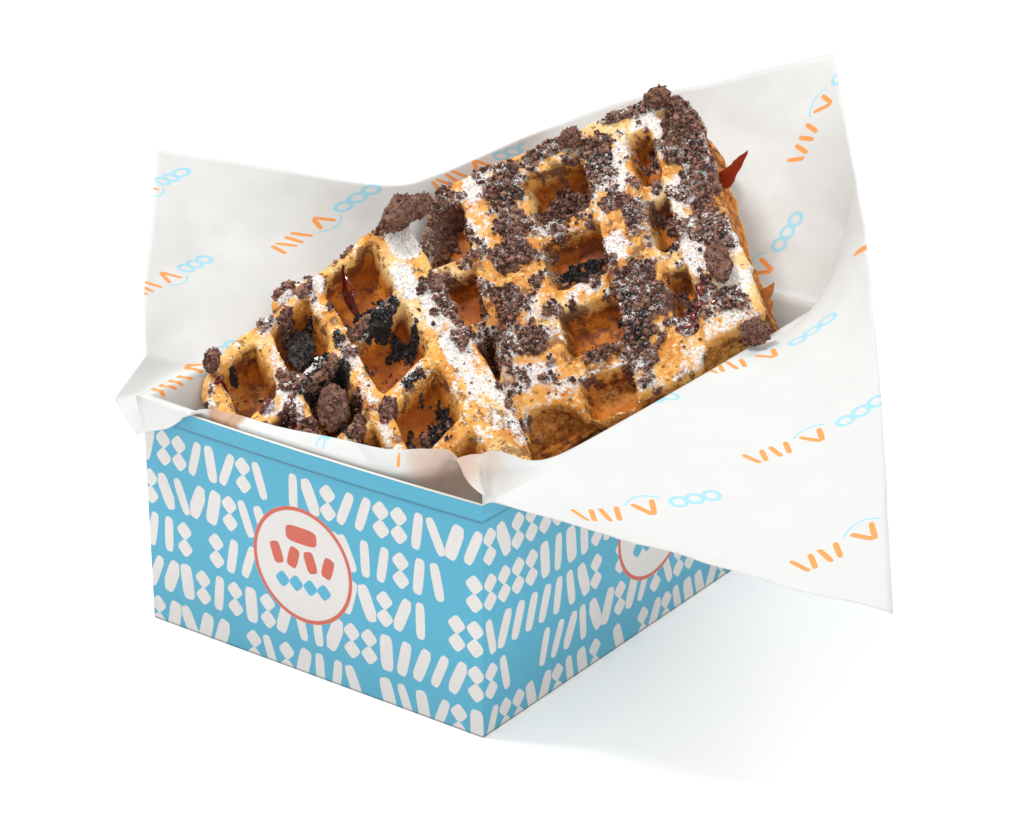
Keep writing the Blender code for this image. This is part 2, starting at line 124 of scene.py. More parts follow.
def tidy_mesh(piece, merge=1e-6):
    """Merge doubles, drop empty faces and loose points, and turn all faces outwards."""
    shape = bmesh.new()
    shape.from_mesh(piece.data)
    bmesh.ops.remove_doubles(shape, verts=shape.verts, dist=merge)
    bmesh.ops.dissolve_degenerate(shape, edges=shape.edges, dist=merge)
    loose = [vert for vert in shape.verts if not vert.link_faces]
    bmesh.ops.delete(shape, geom=loose, context="VERTS")
    bmesh.ops.recalc_face_normals(shape, faces=shape.faces)
    shape.to_mesh(piece.data)
    shape.free()


def waffle_frame(origin, row, column):
    """Origin and the three unit axes of a waffle's grid: along a row, down a column, up."""
    along, down = unit(row), unit(column)
    upward = unit(np.cross(along, -down))
    return np.array(origin, float), along, down, upward


def to_world(waffle, p, q, h):
    """Point = origin + p along + q down + h up."""
    origin, along, down, upward = waffle["frame"]
    return (origin + np.asarray(p)[..., None] * along + np.asarray(q)[..., None] * down
            + np.asarray(h)[..., None] * upward)


# Waffles
# Each splat is (p, q, half width, half height, strength) of one thing that lies on the waffle.

BIG = {
    "name": "waffle_big", "node": "waffle_big", "seed": 3, "thickness": 25.0, "depth": 9.5,
    "under": 8.5, "round": 2.2, "draft": 2.6, "cross_low": 2.0,
    "frame": waffle_frame((-58.2, 58.5, 87.2), (0.768, 0.503, 0.395), (0.639, -0.567, -0.52)),
    "columns": [(-17.5, -0.8), (20.3, 37.6), (52.4, 59.6)],
    "rows": [(9.2, 26.4), (33.2, 50.6), (59.0, 74.6)], "open_pockets": [(21, 36, 83.6, 108)],
    "cover": {"crumb": (0.42, 0.32), "black": (0.0, 0.20), "sugar": (0.44, 0.0)},
    "outline": [(-22, 4), (-8, 0), (12, -1.5), (32, -0.5), (52, -2.5), (66, -1.5), (72.5, 2.5), (75, 11),
                (75.2, 34), (74.5, 56), (77, 74), (76.5, 85), (68, 88), (59, 87), (55, 94), (48, 96),
                (40, 97), (29, 98), (20, 97), (17, 91), (10, 88.5), (3.5, 88), (3, 104),
                (-2, 113), (-12, 115), (-21, 106), (-23, 70), (-21, 36)],
    "crumb": [(12, 10, 6, 6, 1.0), (13, 24, 6, 7, 0.8), (11, 36, 7, 8, 0.9), (6, 50, 6, 8, 0.9),
              (12, 66, 5, 6, 1.0), (28, 20, 8, 8, 1.3), (21, 58, 8, 3, 0.5), (29, 77, 6, 3, 1.1),
              (28, 29.5, 8, 3, 0.5), (44, 8, 6, 6, 1.0), (44, 30, 5, 4, 0.8), (46, 57, 6, 5, 1.1),
              (49, 68, 4, 7, 1.0), (44, 76, 4, 5, 0.8), (69, 16, 6, 14, 1.2), (70, 36, 6, 12, 1.2),
              (70, 52, 5, 8, 1.0), (60, 1, 14, 3, 1.0), (24, 3, 14, 3, 0.8), (56, 64, 3, 6, 0.8),
              (56, 38, 3, 5, 0.5), (-12, 12, 8, 14, 1.0), (36, 86, 5, 4, 0.8), (74, 70, 4, 10, 0.5),
              (48, 90, 5, 4, 0.7), (14, 84, 6, 3, 0.3), (3, 4, 3, 3, 0.4), (24, 84, 5, 3, 0.7)],
    "black": [(29, 42, 6, 4, 0.9), (35, 47, 3, 3, 0.8), (42, 76, 4, 6, 1.0), (44, 14, 4, 3, 0.7),
              (56, 48, 3, 6, 0.6), (12, 41, 3, 2, 0.5), (70, 24, 3, 4, 0.5), (15, 14, 4, 3, 0.6),
              (40, 66, 3, 5, 0.6)],
    "sugar": [(5, 6, 5, 7, 1.2), (3, 14, 3, 4, 0.6), (10, 77, 7, 4, 1.0), (5, 71, 4, 5, 0.6),
              (46, 21, 5, 8, 1.1), (40, 12, 4, 4, 0.8), (50, 12, 4, 5, 0.8), (42, 45, 4, 7, 0.8),
              (40, 64, 4, 9, 1.1), (59, 10, 5, 12, 1.3), (62, 36, 5, 10, 1.0), (62, 56, 5, 9, 1.2),
              (72, 71, 5, 6, 1.1), (74, 60, 4, 8, 0.7), (36, 2, 6, 3, 0.8), (29, 33, 8, 2, 0.9),
              (28, 55, 7, 3, 0.8), (10, 20, 4, 4, 0.5), (6, 62, 4, 6, 0.6), (56, -1, 8, 2, 0.7),
              (16, 52, 5, 2, 0.6), (70, 33, 3, 3, 0.9),
              (70, 44, 4, 5, 0.8), (68, 24, 3, 5, 0.7), (73, 52, 3, 4, 0.8)],
    "sauce": [(61.5, 71.5, 2.6, 4.5, 1.2), (55, 80, 4, 2.5, 0.8), (44, 27, 3, 2, 0.5),
              (29, 34, 6, 1.5, 0.5), (12, 86, 4, 2, 0.3), (1, 76, 1.5, 6, 0.5), (66, 80, 4, 1.5, 0.5)],
    "pale": [(66, 82, 8, 6, 1.0), (30, 84, 10, 6, 0.7), (48, 92, 8, 6, 0.7), (9, 88, 10, 6, 0.5),
             (74, 84, 5, 5, 0.8)],
    "torn": [(32, 92, 14, 9, 1.0), (60, 88, 22, 8, 1.0), (46, 95, 12, 7, 1.0), (75, 20, 5, 24, 0.7),
             (76, 64, 6, 22, 1.0), (30, -1, 30, 3, 0.5)],
    "bare": [(4, 21, 3, 4, 0.5), (15, 88, 9, 6, 0.6), (43, 45, 4, 5, 0.4), (20, 30, 3, 2, 0.3),
             (29, 90, 9, 8, 0.6), (66, 84, 10, 4, 0.5), (29, 84, 7, 2, 0.4), (50, 92, 6, 5, 0.4),
             (29, 68, 6, 7, 0.35), (29, 36, 6, 3, 0.4), (-9, 22, 5, 5, 0.3), (29, 22, 6, 3, 0.2)],
}
LEANING = {
    "name": "waffle_leaning", "node": "waffle_leaning", "seed": 5, "thickness": 25.0, "depth": 9.5,
    "under": 8.5, "round": 2.4, "draft": 1.2, "cross_low": 1.2,
    "frame": waffle_frame((-44, 13, 94), (0.112, 0.925, 0.3625), (0.791, -0.374, -0.484)),
    "columns": [(-34, -14), (-55.5, -40.5), (-76, -62)],
    "rows": [(2.4, 19.4), (25.8, 42.6), (49.0, 65.8), (72.4, 88)],
    "cover": {"crumb": (0.16, 0.14), "black": (0.12, 0.30), "sugar": (0.30, 0.0)},
    "outline": [(-84, -1.5), (-70, -3.5), (-52, -1.5), (-38, -2.5), (-20, -1.5), (-8, -1.5), (-1.5, 0),
                (1, 6), (0, 30), (1, 60), (0.5, 86), (-3, 98), (-9, 99), (-14, 93), (-30, 96),
                (-45, 93), (-58, 84), (-70, 62), (-79, 36), (-84, 20)],
    "crumb": [(-2, 34, 2.5, 12, 0.9), (-4, 47, 3, 5, 0.8), (-30, 22, 6, 2.5, 0.8), (-44, 24, 3, 3, 0.7),
              (-50, 3, 4, 3, 0.7), (-26, -1, 6, 2.5, 0.8), (-3, 22, 4, 4, 0.5), (-34, 48, 4, 4, 0.8),
              (-10, 74, 4, 3, 0.3), (-20, 76, 5, 3, 0.5), (-32, 34, 3, 6, 0.4), (-58, 18, 3, 8, 0.4),
              (-36, 14, 2, 8, 0.4), (-44, 46, 4, 3, 0.5), (-60, 38, 4, 6, 0.6), (-10, 1, 5, 2.5, 0.8)],
    "black": [(-23, 23, 8, 4, 1.1), (-20, 30, 7, 5, 0.72), (-27, 37, 5, 4, 0.66), (-16, 36, 3, 7, 0.72),
              (-45, 18, 4, 6, 1.0), (-52, 24, 5, 3, 1.0), (-42, 29, 4, 4, 0.7), (-20, 60, 5, 6, 0.72),
              (-24, 46, 6, 2.5, 0.6), (-20, 11, 4, 4, 0.35), (-38, 20, 3, 3, 0.8), (-50, 41, 4, 3, 0.8),
              (-27, 15, 4, 3, 0.35), (-70, 12, 4, 5, 0.3), (-12, 88, 3, 3, 0.4), (-22, 70, 4, 3, 0.6)],
    "sugar": [(-4, 8, 6, 9, 1.4), (-10, 20, 4, 7, 1.2), (-5, 34, 5, 8, 1.2), (-6, 48, 5, 9, 1.3),
              (-2, 62, 2.5, 12, 0.7), (-9, 70, 3, 8, 0.4), (-29, 19, 6, 2, 1.1), (-20, 19.5, 5, 2, 0.9),
              (-37, 26, 2.5, 10, 0.6), (-37, 40, 2.5, 7, 0.8), (-50, 21, 6, 2, 1.1), (-35, 2, 2.5, 4, 0.9),
              (-58, 12, 3, 5, 0.6), (-60, 24, 3, 6, 0.7), (-54, 2, 5, 2, 0.8), (-24, 45, 6, 1.5, 1.0),
              (-38, 58, 2.5, 8, 0.7), (-2, 82, 2, 8, 0.5), (-64, 33, 5, 2, 0.5), (-57, 0, 4, 2, 0.6)],
    "sauce": [(-25.7, 7.7, 1.6, 6, 1.1), (-34, 10, 1.5, 5, 0.6), (-60, 28, 2.5, 6, 1.1),
              (-67, 20, 3, 3, 1.0), (-76, 4, 3, 1.5, 0.9), (-1, 40, 1.2, 8, 0.7), (0, 52, 1.2, 6, 0.6),
              (-37, 50, 2, 3, 0.7), (-62, 38, 3, 4, 0.8), (-33, 46, 2, 2, 0.6), (-72, 24, 3, 2, 0.6)],
    "pale": [(-6, 96, 8, 8, 1.0), (-78, 6, 8, 12, 0.5), (-66, 20, 6, 12, 0.3)],
    "torn": [(-8, 97, 9, 8, 1.0), (-60, 80, 20, 14, 1.0), (-40, -2, 40, 3, 0.5)],
    "bare": [(-8, 68, 6, 8, 0.5), (-8, 84, 7, 8, 0.4), (-20, 9, 8, 6, 0.2), (-36, 10, 4, 8, 0.1),
             (-70, 10, 6, 6, 0.2), (-12, 58, 4, 5, 0.3)],
}
SMALL = {
    "name": "waffle_small", "node": "waffle_small", "seed": 9, "thickness": 11.0, "depth": 5.5,
    "under": 0.0, "round": 2.0, "draft": 0.5, "cross_low": 0.0,
    "frame": waffle_frame((-55.2, 23.3, 81.5), (-0.06, -0.99, -0.10), (-0.62, 0.10, -0.77)),
    "columns": [(8, 21), (28, 42)],
    "rows": [(3.2, 11)],
    "cover": {"crumb": (0.22, 0.2), "black": (0.12, 0.2), "sugar": (0.2, 0.0)},
    "outline": [(0, 1), (14, -0.6), (28, 0.4), (42, -1), (50, 2), (51.5, 9), (47, 14.5), (30, 15),
                (12, 14.4), (1, 13)],
    "crumb": [(44, 2, 5, 3, 1.0), (12, 0, 6, 3, 0.5), (26, 1, 4, 3, 0.3)],
    "black": [(40, 3, 4, 3, 0.6)],
    "sugar": [(46, 2, 3, 3, 0.8), (22, 0, 12, 2, 0.5), (38, 1, 5, 2, 0.8)],
    "sauce": [(36, 3, 2, 4, 0.8), (5, 3, 3, 3, 0.8)],
    "pale": [(49, 8, 4, 6, 1.0)],
    "torn": [(49, 8, 5, 8, 1.0)], "bare": [],
}
WAFFLES = (BIG, LEANING, SMALL)
STREWN = ("crumb", "black", "sugar")


def ragged_outline(waffle):
    """The outline with its corners cut twice, resampled every 1.6 mm and shifted by noise."""
    loop = np.array(waffle["outline"], float)
    for _ in range(2):
        after = np.roll(loop, -1, axis=0)
        loop = np.stack([0.75 * loop + 0.25 * after, 0.25 * loop + 0.75 * after], axis=1).reshape(-1, 2)
    closed = np.vstack([loop, loop[:1]])
    length = np.concatenate([[0], np.cumsum(np.linalg.norm(np.diff(closed, axis=0), axis=1))])
    places = np.linspace(0, length[-1], int(length[-1] / 1.6), endpoint=False)
    points = np.stack([np.interp(places, length, closed[:, axis]) for axis in (0, 1)], axis=1)
    seen = np.concatenate([points, np.full((len(points), 1), waffle["seed"] * 31.0)], axis=1)
    torn = splat_field(points[:, 0], points[:, 1], waffle["torn"])
    reach = 0.35 + 0.7 * np.clip(torn, 0, 1)
    points[:, 0] += reach * (noise(seen, 5, 1) + 0.6 * noise(seen, 2.2, 2))
    points[:, 1] += reach * (noise(seen, 5, 3) + 0.6 * noise(seen, 2.2, 4))
    return points


def splat_field(p, q, splats):
    """Greatest of strength * (1 - r^2) over the splats, r being the distance in half sizes."""
    total = np.zeros(np.shape(p))
    for centre_p, centre_q, half_p, half_q, strength in splats:
        square = ((p - centre_p) / half_p) ** 2 + ((q - centre_q) / half_q) ** 2
        total = np.maximum(total, strength * np.clip(1.25 - square * 0.8, 0, 1))
    return total


def topping_field(p, q, waffle, kind, ridge):
    """How much of a topping lies at a place: base cover and splats, less bare spots, broken by noise.

    Above about 0.5 the topping shows. ridge is 1 on the ridges and 0 on the pockets' floors.
    """
    on_ridge, in_pocket = waffle["cover"].get(kind, (0, 0))
    field = np.maximum(in_pocket + (on_ridge - in_pocket) * ridge, splat_field(p, q, waffle[kind]))
    seen = np.stack([p, q, np.full(np.shape(p), waffle["seed"] * 9.0 + len(kind) * 4.0)], axis=-1)
    broken = 0.42 * noise(seen, 7, 81) + 0.40 * noise(seen, 3.2, 82) + 0.26 * noise(seen, 1.5, 83)
    return field + broken - splat_field(p, q, waffle["bare"]) * (kind != "sugar")


def pocket_beds(waffle):
    """Every pocket's sides on the grid: left, right, near, far."""
    beds = [(*column, *row) for column in waffle["columns"] for row in waffle["rows"]]
    return beds + waffle.get("open_pockets", [])


def edge_distance(p, q, outline):
    """Signed distance to the outline (negative inside) and the closest point on it."""
    start, end = outline, np.roll(outline, -1, axis=0)
    span = end - start
    length = (span ** 2).sum(1)
    places = np.stack([p.ravel(), q.ravel()], axis=1)
    distance = np.empty(len(places))
    closest = np.empty((len(places), 2))
    for first in range(0, len(places), 4000):
        part = places[first:first + 4000]
        away = part[:, None] - start
        share = np.clip((away * span).sum(2) / length, 0, 1)
        near = start + share[..., None] * span
        square = ((part[:, None] - near) ** 2).sum(2)
        best = square.argmin(1)
        row = np.arange(len(part))
        crosses = (start[:, 1] > part[:, None, 1]) != (end[:, 1] > part[:, None, 1])
        slope = span[:, 0] / np.where(span[:, 1] == 0, 1e-9, span[:, 1])
        left = part[:, None, 0] < start[:, 0] + (part[:, None, 1] - start[:, 1]) * slope
        inside = (crosses & left).sum(1) % 2 == 1
        distance[first:first + 4000] = np.sqrt(square[row, best]) * np.where(inside, -1, 1)
        closest[first:first + 4000] = near[row, best]
    return distance.reshape(p.shape), closest.reshape(p.shape + (2,))


def pocket_mask(p, q, waffle):
    """1 on a pocket's floor, 0 on the ridges, with walls about 2 mm wide and round corners."""
    seen = np.stack([p, q, np.full(np.shape(p), waffle["seed"] * 13.0)], axis=-1)
    wobble = 0.55 * noise(seen, 5, 11) + 0.25 * noise(seen, 2, 12)
    mask = np.zeros(np.shape(p))
    corner = 2.0
    for left, right, near, far in pocket_beds(waffle):
        over_p = np.abs(p - (left + right) / 2) - ((right - left) / 2 - corner)
        over_q = np.abs(q - (near + far) / 2) - ((far - near) / 2 - corner)
        outside = np.hypot(np.maximum(over_p, 0), np.maximum(over_q, 0))
        inner = np.minimum(np.maximum(over_p, over_q), 0)
        deep = corner - outside - inner
        mask = np.maximum(mask, smooth((deep + 0.8 + wobble) / 2.6))
    return mask


# Where the paper holds the food, in mm: half width, near and far ends, floor, and where the flaps start.
HELD_X, HELD_NEAR, HELD_FAR, HELD_LOW, FLAPS_FROM = 52.7, -77.4, 79.2, 2.4, 66.4


def hold_in_paper(points):
    """Press food against the paper: hold x, y and z inside the lined carton and its flaps."""
    x, y, z = points[..., 0], points[..., 1], points[..., 2]
    lean = np.maximum(z - FLAPS_FROM, 0)
    left_slope = np.interp(y, [14, 30], [0.95, 0.42])
    back_slope = np.interp(x, [-55, -29, -9, 21, 56], [0.5, 0.6, 0.88, 1.0, 0.4])
    bow = WALL_BOW * np.clip(z / CARTON_Z, 0, 1)
    side = bow * (1 - np.clip(np.abs(y) / (CARTON_Y / 2), 0, 1) ** 2)
    x = np.clip(x, -(HELD_X + side + lean * left_slope), HELD_X + side + lean * 5)
    y = np.clip(y, HELD_NEAR, HELD_FAR + lean * back_slope)
    return np.stack([x, y, np.maximum(z, HELD_LOW)], axis=-1)


def waffle_surface(waffle, pitch):
    """A waffle as one closed skin over a grid of (p, q).

    Inside the outline the upper skin is h = -depth * pocket mask - edge rounding + noise, and the
    under skin is h = -thickness + under depth * pocket mask. Outside it, a grid point at distance d
    moves to the closest point of the outline and goes down the side wall by d, to the seam at half
    thickness, where the two skins share their points.
    """
    outline = ragged_outline(waffle)
    half = waffle["thickness"] / 2
    low, high = outline.min(0) - half - 2, outline.max(0) + half + 2
    p_line = np.arange(low[0], high[0], pitch)
    q_line = np.arange(low[1], high[1], pitch)
    p, q = np.meshgrid(p_line, q_line, indexing="ij")
    distance, closest = edge_distance(p, q, outline)
    inside = distance <= 0
    out = np.maximum(distance, 0)
    rounding = waffle["round"]
    near_edge = np.clip(1 + np.minimum(distance, 0) / rounding, 0, 1)
    drop = rounding * (1 - np.sqrt(1 - near_edge ** 2 * 0.999))
    pocket = pocket_mask(p, q, waffle)
    pocket = pocket * smooth((-distance - 0.4) / 1.6)
    depth = np.where(inside, drop, rounding + out * (half - rounding) / half)
    depth = np.minimum(depth, half)
    outward = np.stack([p, q], axis=-1) - closest
    outward = outward / np.maximum(np.linalg.norm(outward, axis=-1, keepdims=True), 1e-6)
    seen = np.stack([closest[..., 0], closest[..., 1], depth + waffle["seed"] * 50], axis=-1)
    torn = np.clip(splat_field(closest[..., 0], closest[..., 1], waffle["torn"]), 0, 1)
    seam = 1.15 * np.exp(-((half - depth) / 1.1) ** 2) * (0.7 + 0.5 * noise(seen, 6, 21))
    crumbly = (0.35 + 0.9 * torn) * noise(seen, 3.2, 22) + (0.2 + 0.35 * torn) * noise(seen, 1.5, 23)
    drawn_in = waffle["draft"] * np.clip(out / half, 0, 1)
    bulge = np.where(inside, 0, (seam + crumbly) * np.clip(out / 1.5, 0, 1) - drawn_in)
    grid_p = np.where(inside, p, closest[..., 0] + outward[..., 0] * bulge)
    grid_q = np.where(inside, q, closest[..., 1] + outward[..., 1] * bulge)
    flat = np.stack([p, q, np.full(p.shape, waffle["seed"] * 17.0)], axis=-1)
    swell = 0.5 * noise(flat, 9, 31) + 0.28 * noise(flat, 3.4, 32) + 0.14 * noise(flat, 1.7, 33)
    ridge = 1 - pocket
    values = {}
    for kind in STREWN:
        field = topping_field(grid_p, grid_q, waffle, kind, ridge)
        if kind == "sugar":
            field = field * (0.3 + 0.7 * ridge)
        values[kind] = field * np.clip(1.3 - out / 5, 0, 1)
    for kind in ("sauce", "pale"):
        values[kind] = splat_field(grid_p, grid_q, waffle[kind])
    grit = np.stack([p, q, np.full(p.shape, waffle["seed"] * 5.0)], axis=-1)
    lumpy = 0.5 + 0.5 * noise(grit, 1.4, 34) + 0.3 * noise(grit, 2.6, 35)
    swell += 1.0 * smooth((values["crumb"] - 0.42) / 0.3) * lumpy
    swell += 0.7 * smooth((values["black"] - 0.45) / 0.3) * lumpy
    swell = np.where(inside, swell, swell * np.clip(1 - out / 3, 0, 1))
    cross = np.zeros(p.shape)
    for left, right in waffle["columns"]:
        cross = np.maximum(cross, smooth((p - left) / 1.6) * smooth((right - p) / 1.6))
    cross *= smooth((q - waffle["rows"][0][0] - 4) / 4) * ridge
    upper = -depth - waffle["depth"] * pocket - waffle["cross_low"] * cross + swell
    lower = -waffle["thickness"] + depth + waffle["under"] * pocket + 0.6 * swell
    lower = np.maximum(lower, -waffle["thickness"])
    rows, columns = p.shape
    top = to_world(waffle, grid_p, grid_q, upper)
    bottom = to_world(waffle, grid_p, grid_q, lower)
    faces = grid_faces(rows, columns)
    shown = distance.ravel()[faces].min(1) < half
    faces = faces[shown]
    count = rows * columns
    shared = (out >= half).ravel()
    under = np.where(shared, np.arange(count), np.arange(count) + count)
    points = hold_in_paper(np.concatenate([top.reshape(-1, 3), bottom.reshape(-1, 3)]))
    both = np.concatenate([faces, under[faces[:, ::-1]]])
    strewn = {kind: values[kind] for kind in STREWN}
    for kind, field in list(values.items()):
        lower_value = field * (kind == "pale")
        values[kind] = np.clip(np.concatenate([field.ravel(), lower_value.ravel()]), 0, 1.5)
    wall = np.where(inside, 0, np.clip(out / 2, 0, 1))
    values["pocket"] = np.concatenate([pocket.ravel(), pocket.ravel()])
    values["wall"] = np.concatenate([wall.ravel(), wall.ravel()])
    heights = {"p": p_line, "q": q_line, "upper": upper, "distance": distance, "pocket": pocket, **strewn}
    return points, both, values, heights


def read_grid(heights, key, p, q):
    """Bilinear reading of a waffle grid at places (p, q)."""
    grid = heights[key]
    pitch = heights["p"][1] - heights["p"][0]
    u = np.clip((p - heights["p"][0]) / pitch, 0, grid.shape[0] - 1.001)
    v = np.clip((q - heights["q"][0]) / pitch, 0, grid.shape[1] - 1.001)
    i, j = u.astype(int), v.astype(int)
    a, b = u - i, v - j
    return ((1 - a) * (1 - b) * grid[i, j] + a * (1 - b) * grid[i + 1, j]
            + (1 - a) * b * grid[i, j + 1] + a * b * grid[i + 1, j + 1])


# Liner
# The sheet's free edge: station round the carton from the near corner, anticlockwise, then a point.

SHEET_EDGE = [
    (4, (65, -83.5, 67.5)), (14, (86, -79, 65.5)), (26, (119, -68, 60)), (40, (159, -62, 58)),
    (85, (122, -2, 70)), (125, (86, 54, 82)), (160, (56, 97, 99)), (200, (21, 141, 120)),
    (230, (-9, 126, 110)), (252, (-29, 109, 105)), (272, (-55, 98, 93)), (300, (-66, 62, 87)),
    (322, (-68, 38, 89)), (345, (-88, 14, 96)), (372, (-112, -14, 105)), (404, (-76, -59, 81)),
    (416, (-66, -70, 71)), (426, (-68, -81, 61.5)), (436, (-54.5, -87, 56.6)), (446, (-49, -87, 59)),
    (455, (-43, -86.2, 61.5)),
    (463, (-35.5, -83.0, 67.2)), (471, (-27, -79.4, 67)), (486, (-12, -78.9, 67)),
    (506, (7, -78.9, 68.8)), (522, (24, -78.9, 70.2)), (534, (36, -78.9, 73.5)),
    (543, (45, -79.6, 75)), (549, (53, -82.8, 69.5)),
]
SHARP = (40, 200, 372, 416, 426, 436)
PERIMETER = 2 * (CARTON_X + CARTON_Y)
INNER_X, INNER_Y = CARTON_X / 2 - BOARD, CARTON_Y / 2 - BOARD
LINER_FLOOR = BOARD + 0.7
LINER_RIM = CARTON_Z + 0.75
FOLD_STATION, FOLD_WIDTH, FOLD_INWARD, FOLD_RISE = 1.0, 17.0, 9.0, 9.5
# The print's lattice on the right flap: one motif's middle, the two steps to the next ones, its slant.
MOTIF_AT, MOTIF_ACROSS, MOTIF_ALONG = (101.3, -0.1), (16.2, 53.1), (-36.9, 37.5)
MOTIF_SLANT = math.radians(60)
# The same lattice on the left flap, and what turns and moves the back flap's onto the right one's.
LEFT_AT, LEFT_STEPS = (28.8, -44.3), ((-4.0, 60.0), (-31.4, 45.1))
BACK_AT, BACK_TURN, BACK_MOVE = (57.0, 84.0), math.radians(-21), (49.7, 60.0)
# The paper's two tan places, in metres: by the near fold, a grease stain with painted shade of the fold, and
# by the lifted edge.
NEAR_FOLD_AT = (0.044, -0.079, 0.070)
LIFTED_EDGE_AT = (-0.028, -0.080, 0.066)
# A motif's orange bars: place along it in mm and turn.
MOTIF_BARS = ((-18.5, 0.28), (-15.0, -0.28), (-11.6, 0.0), (-8.2, -0.3), (-1.6, 0.5), (1.4, -0.35))


def edge_points(stations):
    """Catmull-Rom curve through the free edge's points on a closed loop, broken at the sheet's corners."""
    known = np.array([item[0] for item in SHEET_EDGE], float)
    points = np.array([item[1] for item in SHEET_EDGE], float)
    count = len(known)
    places = np.where(stations < known[0], stations + PERIMETER, stations)
    ends = np.append(known, known[0] + PERIMETER)
    index = np.clip(np.searchsorted(ends, places, side="right") - 1, 0, count - 1)
    t = ((places - ends[index]) / (ends[index + 1] - ends[index]))[:, None]
    start, end = points[index], points[(index + 1) % count]
    slope_in = (end - points[index - 1]) * 0.5
    slope_out = (points[(index + 2) % count] - start) * 0.5
    sharp = np.isin(known, SHARP)
    slope_in = np.where(sharp[index][:, None], end - start, slope_in)
    slope_out = np.where(sharp[(index + 1) % count][:, None], end - start, slope_out)
    return hermite(t, start, slope_in, end, slope_out)


def hermite(t, start, slope_in, end, slope_out):
    """Cubic from start to end with the given slopes: Hermite's four weights of t."""
    return ((2 * t ** 3 - 3 * t ** 2 + 1) * start + (t ** 3 - 2 * t ** 2 + t) * slope_in
            + (3 * t ** 2 - 2 * t ** 3) * end + (t ** 3 - t ** 2) * slope_out)


def rectangle_points(stations, half_x, half_y, corner):
    """Points at the stations on a rectangle with round corners."""
    lengths = np.array([CARTON_Y, CARTON_X, CARTON_Y, CARTON_X])
    starts = np.concatenate([[0], np.cumsum(lengths)])
    corners = np.array([(1, -1), (1, 1), (-1, 1), (-1, -1), (1, -1)], float)
    side = np.clip(np.searchsorted(starts, stations, side="right") - 1, 0, 3)
    share = ((stations - starts[side]) / lengths[side])[:, None]
    flat = (corners[side] * (1 - share) + corners[side + 1] * share) * [half_x, half_y]
    over = np.abs(flat) - (np.array([half_x, half_y]) - corner)
    both = (over > 0).all(1)
    reach = np.maximum(np.hypot(over[:, 0], over[:, 1]), 1e-9)[:, None]
    turned = np.sign(flat) * (np.array([half_x, half_y]) - corner + over / reach * corner)
    return np.where(both[:, None] & (corner > 0), turned, flat)


def rim_points(stations, outward):
    """Points over the bowed rim, outward from the board's inner face."""
    flat = rectangle_points(stations, INNER_X, INNER_Y, 0)
    share = np.abs(flat) / [INNER_X, INNER_Y]
    push_x = np.sign(flat[:, 0]) * (WALL_BOW * (1 - share[:, 1] ** 2) + outward)
    push_y = np.sign(flat[:, 1]) * (WALL_BOW * (1 - share[:, 0] ** 2) + outward)
    flat[:, 0] += np.where(share[:, 0] > 0.999, push_x, 0)
    flat[:, 1] += np.where(share[:, 1] > 0.999, push_y, 0)
    return np.column_stack([flat, np.full(len(flat), LINER_RIM)])


def sheet_rings(stations):
    """The sheet's rings at all stations, from the middle of the floor out to the free edge."""
    edge = edge_points(stations)
    at = {}
    for key, inset, corner in (("floor", 8, 5), ("low", 3.2, 5), ("wall", 1.3, 3)):
        at[key] = rectangle_points(stations, INNER_X - inset, INNER_Y - inset, corner)
    offset = (stations - FOLD_STATION + PERIMETER / 2) % PERIMETER - PERIMETER / 2
    fold = np.exp(-(offset / FOLD_WIDTH) ** 2)
    inward = -unit(at["wall"]) * (FOLD_INWARD * fold)[:, None]

    def level(flat, height):
        return np.column_stack([flat, np.broadcast_to(height, len(flat))])

    base = [level(at["floor"] * 0, LINER_FLOOR), level(at["floor"] * 0.55, LINER_FLOOR),
            level(at["floor"], LINER_FLOOR), level(at["low"], LINER_FLOOR + 5.5), level(at["wall"], 30)]
    reach = np.maximum(np.abs(edge[:, 0]) - INNER_X, np.abs(edge[:, 1]) - INNER_Y)
    top = level(at["wall"] + inward, 58 + 1.2 * FOLD_RISE * fold)
    crest_in = rim_points(stations, -0.6)
    crest_in[:, :2] += inward * 0.6
    crest_in[:, 2] += FOLD_RISE * fold
    short = [top, crest_in] + [crest_in + (edge - crest_in) * share for share in (0.4, 0.6, 0.8, 1.0)]
    over = BOARD + RIM_STEP + 0.9
    crest_out = rim_points(stations, over)
    sag = 3 * np.minimum(1, np.linalg.norm(edge - crest_out, axis=1) / 45)
    flap = [top, crest_in, crest_out]
    for share in (0.3, 0.64, 1.0):
        point = crest_out + (edge - crest_out) * share
        point[:, 2] -= sag * math.sin(math.pi * share)
        low = (point[:, 2] < LINER_RIM) & (np.abs(crest_out[:, 1]) > CARTON_Y / 2)
        outer = np.sign(crest_out[:, 1]) * np.maximum(np.abs(point[:, 1]), np.abs(crest_out[:, 1]))
        point[:, 1] = np.where(low, outer, point[:, 1])
        flap.append(point)
    kind = np.where(reach < over, 0, 1)
    choice = np.stack([np.stack(rings) for rings in (short, flap)])
    chosen = choice[kind, :, np.arange(len(stations))]
    return np.concatenate([np.stack(base, axis=1), chosen], axis=1)


